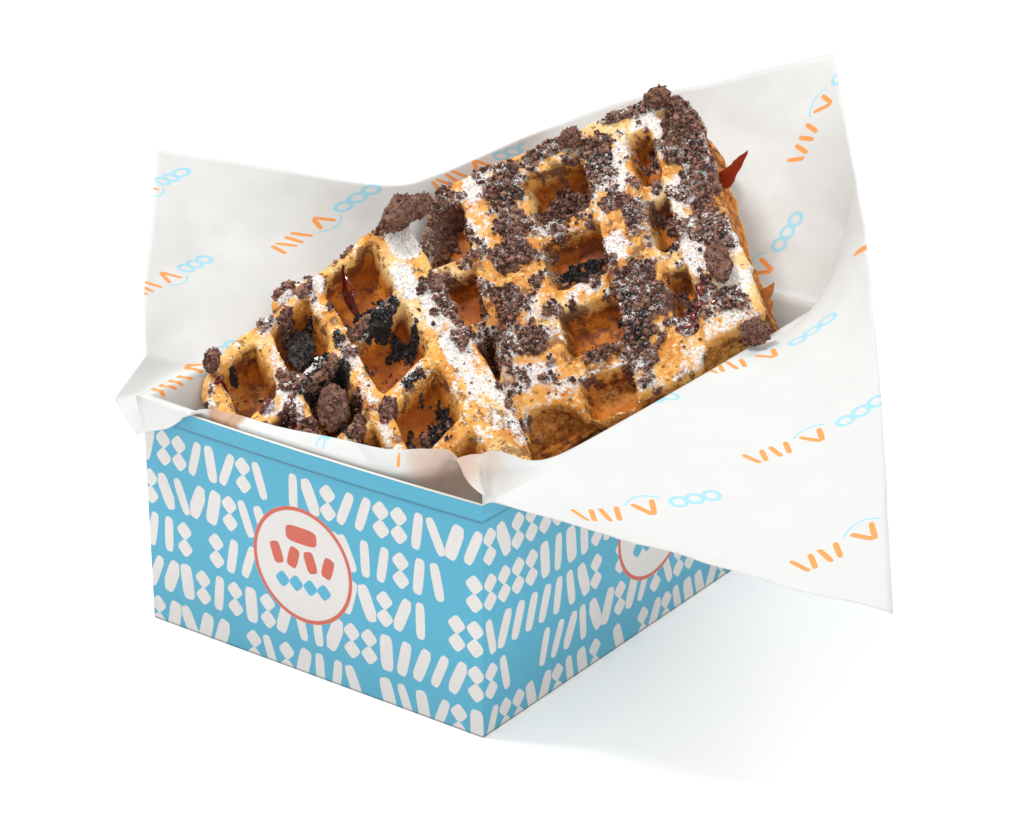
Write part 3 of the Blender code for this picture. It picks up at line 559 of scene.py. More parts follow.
def liner_surface(steps, fine):
    """The sheet as a grid of (station, way out), its rings joined by straight and curved runs.

    Between rings the way out is linear on the floor and walls and Catmull-Rom on the free flaps, and
    the flaps carry soft creases: folded noise along the surface's normal that grows from the rim.
    """
    stations = np.arange(steps) * PERIMETER / steps
    for corner in (CARTON_Y, CARTON_Y + CARTON_X, 2 * CARTON_Y + CARTON_X, *SHARP):
        stations[np.abs(stations - corner).argmin()] = corner
    rings = sheet_rings(stations)
    laid_spans = [2, 3, 2, 4, 6, 3, 2]
    laid = len(laid_spans)
    spans = laid_spans + [fine] * 3
    lines = []
    free = []
    for index, span in enumerate(spans):
        before, start = rings[:, max(index - 1, 0)], rings[:, index]
        end, after = rings[:, index + 1], rings[:, min(index + 2, rings.shape[1] - 1)]
        for step in range(span):
            t = step / span
            if index < laid:
                lines.append(start + (end - start) * t)
            else:
                if index == laid:
                    before = start - (end - start)
                slope_in, slope_out = (end - before) / 2, (after - start) / 2
                if index == len(spans) - 1:
                    slope_out = end - start
                lines.append(hermite(t, start, slope_in, end, slope_out))
            free.append(max(0.0, index + t - laid) / 3)
    lines.append(rings[:, -1])
    free.append(1.0)
    points = np.stack(lines, axis=1)
    free = np.array(free)
    around = np.roll(points, -1, axis=0) - np.roll(points, 1, axis=0)
    outward = np.gradient(points, axis=1)
    normal = np.cross(around, outward)
    size = np.linalg.norm(normal, axis=-1, keepdims=True)
    normal = np.where(size > 1e-6, normal / np.maximum(size, 1e-6), [0, 0, 1.0])
    normal *= np.where(normal[..., 2:] < 0, -1, 1)
    roomy = np.minimum(1, np.linalg.norm(rings[:, -1] - rings[:, -4], axis=1) / 45)[:, None]
    weight = smooth(free * 1.6)[None, :] * roomy
    crease = np.abs(noise(points, 34, 61)) - 0.3 + 0.45 * (np.abs(noise(points, 15, 62)) - 0.3)
    crease = crease + 0.10 * noise(points, 6, 63)
    points = points + normal * (crease * weight * 1.9)[..., None]
    inside = np.linalg.norm(np.diff(points, axis=1), axis=-1)
    arc = np.concatenate([np.zeros((steps, 1)), np.cumsum(inside, axis=1)], axis=1)
    rim = sum(laid_spans[:-1])
    return stations, points, arc - arc[:, rim:rim + 1], rim


def print_places(stations, points, arc, rim):
    """Lattice coordinates of the sheet's print: whole numbers are the motifs' middles.

    On the right and back flaps they come from x and y, on the left flap from y and the way up the
    flap. Inside the carton the way goes down the wall by arc length.
    """
    out = arc > 0
    inward = rectangle_side(stations)[:, None]
    flat = np.where(out[..., None], points[..., :2], points[:, rim, None, :2] + inward * arc[..., None])
    origin = np.array(MOTIF_AT)
    axes = np.array([MOTIF_ACROSS, MOTIF_ALONG]).T
    right = np.linalg.solve(axes, (flat - origin).reshape(-1, 2).T).T
    climb = np.where(out, np.hypot(points[..., 0] + 57, points[..., 2] - 66), arc)
    left_flat = np.stack([climb, points[..., 1]], axis=-1)
    left = np.linalg.solve(np.array(LEFT_STEPS).T, (left_flat - LEFT_AT).reshape(-1, 2).T).T
    climb = np.stack([points[..., 0], points[:, rim, None, 1] + arc], axis=-1) - BACK_AT
    cosine, sine = math.cos(BACK_TURN), math.sin(BACK_TURN)
    spun = np.stack([climb[..., 0] * cosine - climb[..., 1] * sine,
                     climb[..., 0] * sine + climb[..., 1] * cosine], axis=-1)
    behind = spun + BACK_MOVE - origin
    back = np.linalg.solve(axes, behind.reshape(-1, 2).T).T
    region = np.searchsorted([CARTON_Y, CARTON_Y + CARTON_X], stations, side="right")
    return np.stack([item.reshape(points.shape[:2] + (2,)) for item in (right, back, left)]), region


def rectangle_side(stations):
    """The outward direction of the carton's side at each station."""
    directions = np.array([(1, 0), (0, 1), (-1, 0), (0, -1)], float)
    starts = np.array([0, CARTON_Y, CARTON_Y + CARTON_X, 2 * CARTON_Y + CARTON_X])
    return directions[np.searchsorted(starts, stations, side="right") - 1]


# Materials

class Reading:
    """An output of a node that is added, subtracted, multiplied and divided like a number."""

    def __init__(self, wires, socket):
        self.wires = wires
        self.socket = socket

    def __add__(self, other):
        return self.wires.math("ADD", self, other)

    def __sub__(self, other):
        return self.wires.math("SUBTRACT", self, other)

    def __rsub__(self, other):
        return self.wires.math("SUBTRACT", other, self)

    def __mul__(self, other):
        return self.wires.math("MULTIPLY", self, other)

    def __truediv__(self, other):
        return self.wires.math("DIVIDE", self, other)

    def __abs__(self):
        return self.wires.math("ABSOLUTE", self)


class Wires:
    """Short calls that lay shader nodes in one tree and return what they put out."""

    def __init__(self, tree):
        self.tree = tree
        self.nodes = tree.nodes

    def add(self, kind, **settings):
        node = self.nodes.new(kind)
        for key, value in settings.items():
            setattr(node, key, value)
        return node

    def put(self, socket, value):
        """Link a reading or an output to an input, or set the input to a number, vector or colour."""
        if isinstance(value, Reading):
            value = value.socket
        if isinstance(value, bpy.types.NodeSocket):
            self.tree.links.new(value, socket)
        elif socket.type == "RGBA":
            socket.default_value = (*value, 1.0)
        else:
            socket.default_value = value

    def fed(self, node, *values, output=0, **named):
        """Feed a node's inputs in order, then by name, and read one of its outputs."""
        for socket, value in zip(node.inputs, values):
            self.put(socket, value)
        for key, value in named.items():
            self.put(node.inputs[key], value)
        return Reading(self, node.outputs[output])

    def math(self, operation, *values):
        return self.fed(self.add("ShaderNodeMath", operation=operation), *values)

    def length(self, vector):
        node = self.add("ShaderNodeVectorMath", operation="LENGTH")
        return self.fed(node, vector, output="Value")

    def distance(self, start, end):
        node = self.add("ShaderNodeVectorMath", operation="DISTANCE")
        return self.fed(node, start, end, output="Value")

    def most(self, values):
        """The greatest of several masks."""
        total = values[0]
        for value in values[1:]:
            total = self.math("MAXIMUM", total, value)
        return total

    def ring(self, across, up, inner, outer):
        """1 between two radii round the middle, with edges 0.2 mm wide."""
        reach = self.length(self.join(across, up))
        return self.ramp(reach, outer, outer - 0.2) * self.ramp(reach, inner, inner + 0.2)

    def split(self, value):
        node = self.add("ShaderNodeSeparateXYZ")
        self.put(node.inputs[0], value)
        return [Reading(self, socket) for socket in node.outputs]

    def join(self, x, y, z=0.0):
        return self.fed(self.add("ShaderNodeCombineXYZ"), x, y, z)

    def mix(self, share, first, second, blend="MIX"):
        """The first colour where share is 0, the second where it is 1."""
        node = self.add("ShaderNodeMix", data_type="RGBA", blend_type=blend)
        for index, value in ((0, share), (6, first), (7, second)):
            self.put(node.inputs[index], value)
        return Reading(self, node.outputs[2])

    def ramp(self, value, low, high, low_out=0.0, high_out=1.0):
        """A soft step from low_out at low to high_out at high. low may be above high."""
        node = self.add("ShaderNodeMapRange", interpolation_type="SMOOTHSTEP")
        return self.fed(node, value, low, high, low_out, high_out)

    def noise(self, place, scale, detail=3.0, rough=0.55):
        node = self.add("ShaderNodeTexNoise")
        return self.fed(node, Vector=place, Scale=scale, Detail=detail, Roughness=rough, output="Fac")

    def cell_distance(self, place, scale):
        node = self.add("ShaderNodeTexVoronoi")
        return self.fed(node, Vector=place, Scale=scale, output="Distance")

    def place(self):
        return Reading(self, self.add("ShaderNodeTexCoord").outputs["Object"])

    def surface_normal(self):
        return Reading(self, self.add("ShaderNodeNewGeometry").outputs["Normal"])

    def facing_up(self):
        """The normal's Z: 1 on top, 0 on a wall."""
        return self.split(self.surface_normal())[2]

    def attribute(self, name):
        return Reading(self, self.add("ShaderNodeAttribute", attribute_name=name).outputs["Fac"])

    def group(self, tree, **values):
        node = self.add("ShaderNodeGroup")
        node.node_tree = tree
        for key, value in values.items():
            self.put(node.inputs[key], value)
        return {socket.name: Reading(self, socket) for socket in node.outputs}

    def bump(self, height, distance, strength=1.0):
        node = self.add("ShaderNodeBump")
        return self.fed(node, Height=height, Distance=distance, Strength=strength)


def new_material(name, **settings):
    """A Principled material. settings set the shader's own sockets. Returns material, wires, shader."""
    material = bpy.data.materials.new(name)
    material.use_nodes = True
    wires = Wires(material.node_tree)
    shader = material.node_tree.nodes["Principled BSDF"]
    for key, value in settings.items():
        shader.inputs[key.replace("_", " ")].default_value = value
    return material, wires, shader


def new_group(name, inputs, outputs):
    """An empty shader node group with named sockets: (name, socket type) pairs, inputs with defaults."""
    tree = bpy.data.node_groups.new(name, "ShaderNodeTree")
    for key, kind, default in inputs:
        socket = tree.interface.new_socket(key, in_out="INPUT", socket_type=kind)
        if default is not None:
            socket.default_value = default
    for key, kind in outputs:
        tree.interface.new_socket(key, in_out="OUTPUT", socket_type=kind)
    wires = Wires(tree)
    sockets = wires.add("NodeGroupInput").outputs
    start = {socket.name: Reading(wires, socket) for socket in sockets}
    end = wires.add("NodeGroupOutput").inputs
    return tree, wires, start, end


def bar_mask(wires, a, b, turn, half_width, half_height):
    """1 inside a rounded bar turned by an angle: (a'/w)^4 + (b'/h)^4 < 1."""
    cosine, sine = wires.math("COSINE", turn), wires.math("SINE", turn)
    across = a * cosine + b * sine
    along = b * cosine - a * sine
    total = (wires.math("POWER", abs(across / half_width), 4.0)
             + wires.math("POWER", abs(along / half_height), 4.0))
    return wires.ramp(total, 1.12, 0.88)


def bar_rows_group():
    """Rows of rounded bars and dots. Width and height in mm in, mask out: one draw for each cell."""
    tree, wires, start, end = new_group("Bar rows", [
        ("Across", "NodeSocketFloat", 0.0), ("Up", "NodeSocketFloat", 0.0),
        ("Row height", "NodeSocketFloat", 12.6), ("Cell width", "NodeSocketFloat", 5.7),
        ("Bar width", "NodeSocketFloat", 1.7), ("Bar height", "NodeSocketFloat", 5.2)],
        [("Mask", "NodeSocketFloat")])
    row_place = start["Up"] / start["Row height"]
    row = wires.math("FLOOR", row_place)
    b = (row_place - row - 0.5) * start["Row height"]
    shift = row * 17.3
    column_place = (start["Across"] + shift) / start["Cell width"]
    column = wires.math("FLOOR", column_place)
    a = (column_place - column - 0.5) * start["Cell width"]
    draw = wires.add("ShaderNodeTexWhiteNoise", noise_dimensions="3D")
    wires.put(draw.inputs["Vector"], wires.join(column, row, 3.7))
    first, second, third = wires.split(draw.outputs["Color"])
    turn = wires.ramp(first, 0.0, 1.0, -0.42, 0.42)
    width = start["Bar width"] * wires.ramp(second, 0.2, 1.0, 0.85, 1.25)
    bar = bar_mask(wires, a, b, turn, width, start["Bar height"])
    disc = abs(b) - 2.55
    dots = bar_mask(wires, a, disc, 0.785, 2.15, 2.15)
    dotted = wires.math("GREATER_THAN", third, 0.68)
    gap = wires.math("GREATER_THAN", third, 0.07)
    shown = dots * dotted + bar * (1.0 - dotted)
    wires.put(end["Mask"], shown * gap)
    return tree


def fibre_group():
    """Fine paper fibre: a stretched and a plain noise. Place and scale in, value 0..1 out."""
    tree, wires, start, end = new_group("Paper fibre", [
        ("Place", "NodeSocketVector", None), ("Scale", "NodeSocketFloat", 900.0)],
        [("Value", "NodeSocketFloat")])
    stretched = wires.add("ShaderNodeMapping")
    stretched.inputs["Scale"].default_value = (1.0, 0.25, 1.0)
    wires.put(stretched.inputs["Vector"], start["Place"])
    long_noise = wires.noise(stretched.outputs[0], start["Scale"], 4.0, 0.6)
    fine = wires.noise(start["Place"], start["Scale"], 2.0)
    wires.put(end["Value"], (long_noise + fine) * 0.5)
    return tree


def crumb_group():
    """Broken crumb texture: grains and pits. Place and grain scale in, tone 0..1 and height out."""
    tree, wires, start, end = new_group("Crumb grain", [
        ("Place", "NodeSocketVector", None), ("Scale", "NodeSocketFloat", 1400.0)],
        [("Tone", "NodeSocketFloat"), ("Height", "NodeSocketFloat")])
    grain = wires.cell_distance(start["Place"], start["Scale"])
    broad = wires.noise(start["Place"], start["Scale"] * 0.35, 4.0, 0.65)
    fleck = wires.noise(start["Place"], start["Scale"] * 1.7, 2.0)
    wires.put(end["Tone"], broad * 0.6 + fleck * 0.4)
    wires.put(end["Height"], broad - grain * 0.6)
    return tree


def shared(name, maker):
    return bpy.data.node_groups.get(name) or maker()


def toned(colour, share):
    """A colour made darker, or lighter where share is above 1."""
    return tuple(part * share for part in colour)


def carton_material(look):
    """Printed board: rows of bars on a blue field, ringed badges, brown inside, white cut edge."""
    material, wires, shader = new_material("printed_board_look", Roughness=0.42, Coat_Weight=0.12,
                                           Coat_Roughness=0.25)
    place = wires.place()
    scaled = wires.add("ShaderNodeVectorMath", operation="SCALE")
    x, y, z = wires.split(wires.fed(scaled, Vector=place, Scale=1000.0, output="Vector"))
    nx, ny, nz = wires.split(wires.surface_normal())
    side = wires.math("GREATER_THAN", abs(nx), abs(ny))
    way = wires.math("SIGN", x)
    along_side = (y + (CARTON_Y / 2 + CARTON_X / 2)) * way
    along_end = x * (wires.math("SIGN", y) * -1.0)
    across = along_side * side + along_end * (1.0 - side)
    bars = wires.group(shared("Bar rows", bar_rows_group), Across=across, Up=z + 4.1)["Mask"]
    fibre = wires.group(shared("Paper fibre", fibre_group), Place=place)["Value"]
    low_shade = wires.ramp(z, 0.0, 30.0, 0.86, 1.0)
    bars = bars * wires.ramp(z, CARTON_Z - RIM_BAND - 1.3, CARTON_Z - RIM_BAND - 1.5)
    ink = wires.mix(wires.ramp(fibre, 0.35, 0.7), toned(look.field, 0.94), look.field)
    white = wires.mix(wires.ramp(fibre, 0.3, 0.7), toned(look.print_white, 0.95), look.print_white)
    printed = wires.mix(bars, ink, white)
    outer_x = (1.0 - side) * (x - look.badge_across_end)
    outer_y = side * (y - look.badge_across_side)
    badge_a = outer_x + outer_y
    badge_b = z - look.badge_height
    reach = wires.math("SQRT", badge_a * badge_a + badge_b * badge_b)
    radius = look.badge_radius
    disc = wires.ramp(reach, radius + 0.12, radius - 0.12)
    ring = disc * wires.ramp(reach, radius - 1.25, radius - 1.0)
    printed = wires.mix(disc, printed, white)
    pill_b = badge_b - 8.6
    pill = bar_mask(wires, pill_b, badge_a, 0.0, 2.4, 5.2)
    marks = wires.math("MAXIMUM", ring, pill)
    for left, angle in ((-8.6, 0.3), (-3.0, -0.3), (2.8, 0.3), (8.6, -0.3)):
        marks = wires.math("MAXIMUM", marks,
                           bar_mask(wires, badge_a - left, badge_b - 1.6, angle, 1.75, 3.1))
    printed = wires.mix(marks, printed, look.badge_orange)
    dots = [bar_mask(wires, badge_a - left, badge_b + 5.8, 0.785, 1.9, 1.9)
            for left in (-7.0, -2.4, 2.4, 7.0)]
    printed = wires.mix(wires.most(dots), printed, look.field)
    # The crease under the rim band is a groove in the bump and a dark line in the colour: painted shade in
    # the crease.
    band_low = CARTON_Z - RIM_BAND
    crease = (wires.ramp(z, band_low - CREASE - 0.35, band_low - CREASE)
              * wires.ramp(z, band_low + 0.25, band_low - 0.05))
    printed = wires.mix(crease * 0.6, printed, toned(look.field, 0.3))
    # Painted contact shadow: the lowest 0.9 mm of the board, where it stands on the floor, goes near black.
    foot = wires.ramp(z, 0.9, 0.1)
    printed = wires.mix(foot * 0.7, printed, (0.05, 0.07, 0.08))
    printed = wires.mix(1.0, printed, wires.join(low_shade, low_shade, low_shade), "MULTIPLY")
    outward = nx * x + ny * y
    outside = wires.ramp(outward, -1.0, 1.0)
    kraft = wires.mix(wires.ramp(fibre, 0.3, 0.7), (0.30, 0.145, 0.065), (0.44, 0.24, 0.12))
    colour = wires.mix(outside, kraft, printed)
    cut = wires.ramp(nz, 0.5, 0.7) * wires.ramp(z, 64.2, 64.6)
    colour = wires.mix(cut, colour, (0.78, 0.74, 0.66))
    wires.put(shader.inputs["Base Color"], colour)
    wires.put(shader.inputs["Roughness"], wires.ramp(fibre, 0.2, 0.8, 0.38, 0.52))
    height = fibre * 0.25 - crease
    wires.put(shader.inputs["Normal"], wires.bump(height, 0.00012, 0.6))
    return material


def liner_material(look):
    """Thin white paper with sparse motifs: orange bars, and a light blue arc and rings."""
    material, wires, shader = new_material("liner_paper_look", Roughness=0.62, Sheen_Weight=0.05)
    uv = wires.add("ShaderNodeUVMap", uv_map="print").outputs[0]
    place = wires.place()
    u, v, _ = wires.split(uv)
    u = u - wires.math("ROUND", u)
    v = v - wires.math("ROUND", v)
    local_x = u * MOTIF_ACROSS[0] + v * MOTIF_ALONG[0]
    local_y = u * MOTIF_ACROSS[1] + v * MOTIF_ALONG[1]
    cosine, sine = math.cos(MOTIF_SLANT), math.sin(MOTIF_SLANT)
    along = local_x * cosine + local_y * sine
    up = local_y * cosine - local_x * sine
    orange = wires.most([bar_mask(wires, along - centre, up, angle, 0.75, 3.3)
                         for centre, angle in MOTIF_BARS])
    blue = [wires.ring(along - centre, up, 1.35, 2.75) for centre in (8.5, 13.0, 17.6)]
    blue.append(wires.ring(along, up + 0.6, 5.5, 6.3) * wires.ramp(up, 2.6, 3.2))
    blue = wires.most(blue)
    fibre = wires.group(shared("Paper fibre", fibre_group), Place=place, Scale=500.0)["Value"]
    mottle = wires.noise(place, 60.0, 4.0)
    sheet = wires.mix(wires.ramp(mottle, 0.35, 0.7), toned(look.sheet, 0.965), look.sheet)
    # Tan round the near fold: a grease stain and painted shade in the fold's hollow, with mottled grease
    # spots elsewhere.
    near = wires.distance(place, NEAR_FOLD_AT)
    stain_and_fold_shade = wires.ramp(near, 0.02, 0.004) + (mottle - 0.55) * 1.2
    lifted = wires.distance(place, LIFTED_EDGE_AT)
    stain_and_fold_shade = wires.math("MAXIMUM", wires.ramp(stain_and_fold_shade, 0.12, 0.9, 0.0, 0.7),
                         wires.ramp(lifted, 0.0065, 0.0045))
    sheet = wires.mix(stain_and_fold_shade * 0.9, sheet, look.stain)
    colour = wires.mix(orange * 0.92, sheet, look.motif_orange)
    colour = wires.mix(blue * 0.9, colour, look.motif_blue)
    wires.put(shader.inputs["Base Color"], colour)
    # Painted light: the paper glows with its own colour, in place of light coming through the thin sheet.
    wires.put(shader.inputs["Emission Color"], colour)
    shader.inputs["Emission Strength"].default_value = look.painted_glow
    wires.put(shader.inputs["Roughness"], wires.ramp(fibre, 0.3, 0.7, 0.55, 0.7))
    x, y, _ = wires.split(place)
    crease = wires.ramp(abs(wires.noise(place, 34.0, 1.0) - 0.5), 0.0, 0.06)
    crease = crease * (wires.ramp(y, -0.07, -0.078) * wires.ramp(x, 0.064, 0.054))
    height = mottle + fibre * 0.15
    wires.put(shader.inputs["Normal"], wires.bump(height + crease * 2.2, 0.0004, 0.7))
    return material


def waffle_material(look):
    """Baked batter, golden on the ridges and orange in the pockets, with what lies on it."""
    material, wires, shader = new_material("waffle_crust_look", Roughness=0.6, Subsurface_Weight=0.04,
                                           Subsurface_Scale=0.004, Specular_IOR_Level=0.25)
    shader.inputs["Subsurface Radius"].default_value = (1.0, 0.45, 0.15)
    place = wires.place()
    pocket, wall = wires.attribute("pocket"), wires.attribute("wall")
    broad = wires.noise(place, 110.0, 4.0, 0.6)
    fine = wires.noise(place, 650.0, 3.0, 0.6)
    specks = wires.noise(place, 620.0, 2.0, 0.5)
    blotches = wires.noise(place, 250.0, 5.0, 0.6)
    pits = wires.cell_distance(place, 480.0)
    golden = wires.mix(wires.ramp(broad, 0.32, 0.66), look.crust_deep, look.crust)
    golden = wires.mix(wires.ramp(fine, 0.50, 0.70), golden, look.crust_light)
    patches = wires.noise(place, 45.0, 3.0, 0.5)
    golden = wires.mix(wires.ramp(patches, 0.50, 0.66, 0.0, 0.75), golden, look.crust_light)
    inner = wires.mix(wires.ramp(broad, 0.35, 0.7), look.pocket_deep, look.pocket)
    colour = wires.mix(wires.ramp(pocket, 0.12, 0.8), golden, inner)
    shade = wires.ramp(pocket, 0.55, 1.0) * wires.ramp(broad, 0.62, 0.4, 0.15, 0.75)
    colour = wires.mix(shade, colour, look.pocket_deep)
    toasted = wires.mix(wires.ramp(fine, 0.4, 0.7), look.pocket_deep, look.pocket)
    colour = wires.mix(wires.ramp(wall, 0.1, 0.9) * 0.8, colour, toasted)
    pale = wires.attribute("pale") * wires.ramp(fine, 0.35, 0.6)
    colour = wires.mix(wires.math("MINIMUM", pale, 1.0), colour, look.torn)
    dark_speck = wires.math("MAXIMUM", wires.ramp(specks, 0.66, 0.71), wires.ramp(blotches, 0.61, 0.67))
    colour = wires.mix(dark_speck * 0.78, colour, (0.13, 0.03, 0.01))
    lip = wires.ramp(pocket, 0.02, 0.18) * wires.ramp(pocket, 0.95, 0.6)
    seep = lip * wires.ramp(wires.noise(place, 95.0, 4.0, 0.65), 0.49, 0.58)
    stain = wires.ramp(wires.noise(place, 140.0, 5.0, 0.68), 0.53, 0.60)
    seep = wires.math("MAXIMUM", seep, stain * 0.8)
    colour = wires.mix(seep * 0.85, colour, (0.1, 0.018, 0.008))
    grain = wires.group(shared("Crumb grain", crumb_group), Place=place, Scale=1500.0)
    ragged = fine * 0.55 + broad * 0.75
    dust_edge = wires.attribute("crumb") + (ragged - 0.65)
    dust = wires.ramp(dust_edge, 0.46, 0.54)
    brown = wires.mix(wires.ramp(grain["Tone"], 0.38, 0.62), look.crumb_deep, look.crumb)
    colour = wires.mix(dust, colour, brown)
    black_edge = wires.attribute("black") + (ragged - 0.65)
    soot = wires.ramp(black_edge, 0.50, 0.58)
    colour = wires.mix(soot, colour, wires.mix(wires.ramp(grain["Tone"], 0.4, 0.7), (0.012, 0.010, 0.011),
                                               (0.06, 0.052, 0.052)))
    glaze_edge = wires.attribute("sauce") + (ragged - 0.65)
    glaze = wires.ramp(glaze_edge, 0.45, 0.60)
    colour = wires.mix(glaze, colour, look.sauce)
    sugar_edge = wires.attribute("sugar") + (ragged - 0.65) * 2.2
    powder = wires.noise(place, 1300.0, 2.0)
    sugar_grit = wires.ramp(powder, 0.34, 0.56, 0.45, 1.0)
    sugar = wires.ramp(sugar_edge, 0.3, 0.8) * sugar_grit
    sugar = sugar * wires.ramp(wires.facing_up(), 0.1, 0.6)
    colour = wires.mix(sugar, colour, look.sugar)
    wires.put(shader.inputs["Base Color"], colour)
    rough = wires.ramp(glaze, 0.0, 1.0, 0.62, 0.12)
    wires.put(shader.inputs["Roughness"], wires.math("MAXIMUM", rough, sugar * 0.85))
    height = fine * 0.5 + broad * 0.6
    height = height + wires.ramp(pits, 0.0, 0.4) * 0.25
    height = height + wires.math("MAXIMUM", dust, soot) * (grain["Height"] * 1.2)
    height = height + sugar * (fine * 0.6)
    wires.put(shader.inputs["Normal"], wires.bump(height, 0.0009, 0.55))
    return material


def crumb_material(name, deep, light, sugar_share):
    """Dry cookie: each grain has its own tone. Above 0, sugar_share lets sugar lie on what faces up."""
    material, wires, shader = new_material(name, Roughness=0.85, Specular_IOR_Level=0.3)
    place = wires.place()
    grain = wires.group(shared("Crumb grain", crumb_group), Place=place, Scale=1700.0)
    tint = wires.attribute("tint")
    tone = grain["Tone"] * 0.5 + tint * 0.5
    colour = wires.mix(wires.ramp(tone, 0.3, 0.7), deep, light)
    if sugar_share:
        lying = wires.ramp(wires.attribute("dusted"), 1.0 - sugar_share, 1.0)
        dusted = lying * wires.ramp(wires.facing_up(), 0.35, 0.75)
        colour = wires.mix(dusted, colour, (0.86, 0.84, 0.82))
    wires.put(shader.inputs["Base Color"], colour)
    wires.put(shader.inputs["Normal"], wires.bump(grain["Height"], 0.0003, 0.7))
    return material


def sauce_material(look):
    """Dark red sauce: a wet coat over a lightly clouded tone."""
    material, wires, shader = new_material("sauce_look", Roughness=0.08, Coat_Weight=0.7,
                                           Coat_Roughness=0.04, Subsurface_Weight=0.12)
    shader.inputs["Subsurface Scale"].default_value = 0.002
    cloud = wires.noise(wires.place(), 300.0, 3.0)
    colour = wires.mix(wires.ramp(cloud, 0.35, 0.7), look.sauce, toned(look.sauce, 1.7))
    wires.put(shader.inputs["Base Color"], colour)
    return material


def sugar_material(look):
    """Powdered sugar: nearly white, matt and slightly clouded."""
    material, wires, shader = new_material("sugar_look", Roughness=0.9, Subsurface_Weight=0.1)
    shader.inputs["Subsurface Scale"].default_value = 0.001
    cloud = wires.noise(wires.place(), 900.0, 3.0)
    colour = wires.mix(wires.ramp(cloud, 0.3, 0.7), toned(look.sugar, 0.93), look.sugar)
    wires.put(shader.inputs["Base Color"], colour)
    wires.put(shader.inputs["Normal"], wires.bump(cloud, 0.0003, 0.5))
    return material


# Settings

def colour_setting(name, default, text):
    return bpy.props.FloatVectorProperty(name=name, description=text, default=default, size=3,
                                         subtype="COLOR", min=0.0, max=1.0)


def number_setting(name, default, text, **limits):
    return bpy.props.FloatProperty(name=name, description=text, default=default, **limits)


def count_setting(name, default, text, most=21000):
    return bpy.props.IntProperty(name=name, description=text, default=default, min=0, max=most)


class CartonLook(bpy.types.PropertyGroup):
    """Print and colours of the carton."""
    field: colour_setting("Field", (0.062, 0.375, 0.545), "Blue of the printed field")
    print_white: colour_setting("Print", (0.69, 0.66, 0.64), "Off-white of the bars and badges")
    badge_orange: colour_setting("Badge", (0.56, 0.095, 0.055), "Red-orange of the badge's ring")
    badge_radius: number_setting("Badge radius", 16.6, "Outer radius of the badge in mm", min=5, max=30)
    badge_height: number_setting("Badge height", 31.9, "Height of the badge's middle in mm", min=10, max=55)
    badge_across_end: number_setting("Badge on the ends", -1.7, "Badge's middle along X on the ends, in mm")
    badge_across_side: number_setting("Badge on the sides", -7.0,
                                      "Badge's middle along Y on the sides, in mm")


class LinerLook(bpy.types.PropertyGroup):
    """The paper sheet."""
    sheet: colour_setting("Sheet", (0.60, 0.605, 0.59), "White of the paper")
    motif_orange: colour_setting("Orange", (0.78, 0.25, 0.015), "Orange of the motifs")
    motif_blue: colour_setting("Blue", (0.27, 0.56, 0.68), "Light blue of the motifs")
    # The tan by the near corner is a grease stain and painted shade of the fold there.
    stain: colour_setting("Stain", (0.46, 0.25, 0.14), "Tan of the paper by the near corner")
    paper: number_setting("Paper", 0.00025, "Thickness of the paper as shown",
                        min=0.0001, max=0.0005, unit="LENGTH")
    # The paper's painted glow, in place of light coming through it.
    painted_glow: number_setting("Light through", 0.15, "Light that comes through the thin paper",
                               min=0, max=1)
    flat: number_setting("Sheet size", 0.305, "Side of the square sheet before it is laid",
                       min=0.2, max=0.4, unit="LENGTH")


class WaffleLook(bpy.types.PropertyGroup):
    """Colours of the waffles and of what lies on them."""
    crust: colour_setting("Crust", (0.86, 0.45, 0.10), "Golden crust")
    crust_light: colour_setting("Light crust", (0.92, 0.68, 0.32), "Lighter flecks of the crust")
    crust_deep: colour_setting("Deep crust", (0.62, 0.22, 0.03), "Darker crust")
    pocket: colour_setting("Pocket", (0.70, 0.23, 0.015), "Orange of the pockets")
    pocket_deep: colour_setting("Deep pocket", (0.36, 0.085, 0.006), "Darker orange of the pockets")
    torn: colour_setting("Torn", (0.86, 0.48, 0.13), "Pale yellow of torn batter")
    crumb: colour_setting("Crumb", (0.285, 0.148, 0.105), "Brown cookie crumb")
    crumb_deep: colour_setting("Deep crumb", (0.085, 0.038, 0.028), "Darker cookie crumb")
    sugar: colour_setting("Sugar", (0.92, 0.91, 0.90), "Powdered sugar")
    sauce: colour_setting("Sauce", (0.13, 0.012, 0.008), "Dark red sauce")
    pitch: number_setting("Grid", 0.00078, "Distance between the points of a waffle's skin",
                        min=0.0004, max=0.003, unit="LENGTH")


class ToppingLook(bpy.types.PropertyGroup):
    """How much is strewn."""
    brown_crumbs: count_setting("Brown crumbs", 20000, "Number of brown cookie crumbs")
    black_crumbs: count_setting("Dark crumbs", 11000, "Number of near-black cookie crumbs")
    sugar_grains: count_setting("Sugar grains", 7000, "Number of small clumps of sugar")
    seed: count_setting("Seed", 7, "Seed of the strewing")


class StageLook(bpy.types.PropertyGroup):
    """Floor, light and camera."""
    floor: colour_setting("Floor", (0.95, 0.945, 0.93), "Pale floor")
    floor_glow: number_setting("Floor glow", 0.16, "Own light of the floor, for a soft shadow", min=0)
    key: number_setting("Key light", 3.3, "Half the power of the main soft light, in watts",
                      min=0, subtype="POWER")
    sky: number_setting("Room light", 0.76, "Strength of the even light from all round", min=0)


LOOKS = (("carton_look", CartonLook), ("liner_look", LinerLook), ("waffle_look", WaffleLook),
         ("topping_look", ToppingLook), ("stage_look", StageLook))
HEIGHTS = {}


# Operators

class WAFFLES_OT_carton(bpy.types.Operator):
    """Print the carton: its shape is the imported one"""
    bl_idname = "waffles.carton"
    bl_label = "Carton"

    def execute(self, context):
        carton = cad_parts["carton"]
        material = carton_material(context.scene.carton_look)
        for slot in carton.material_slots:
            slot.material = material
        return {"FINISHED"}


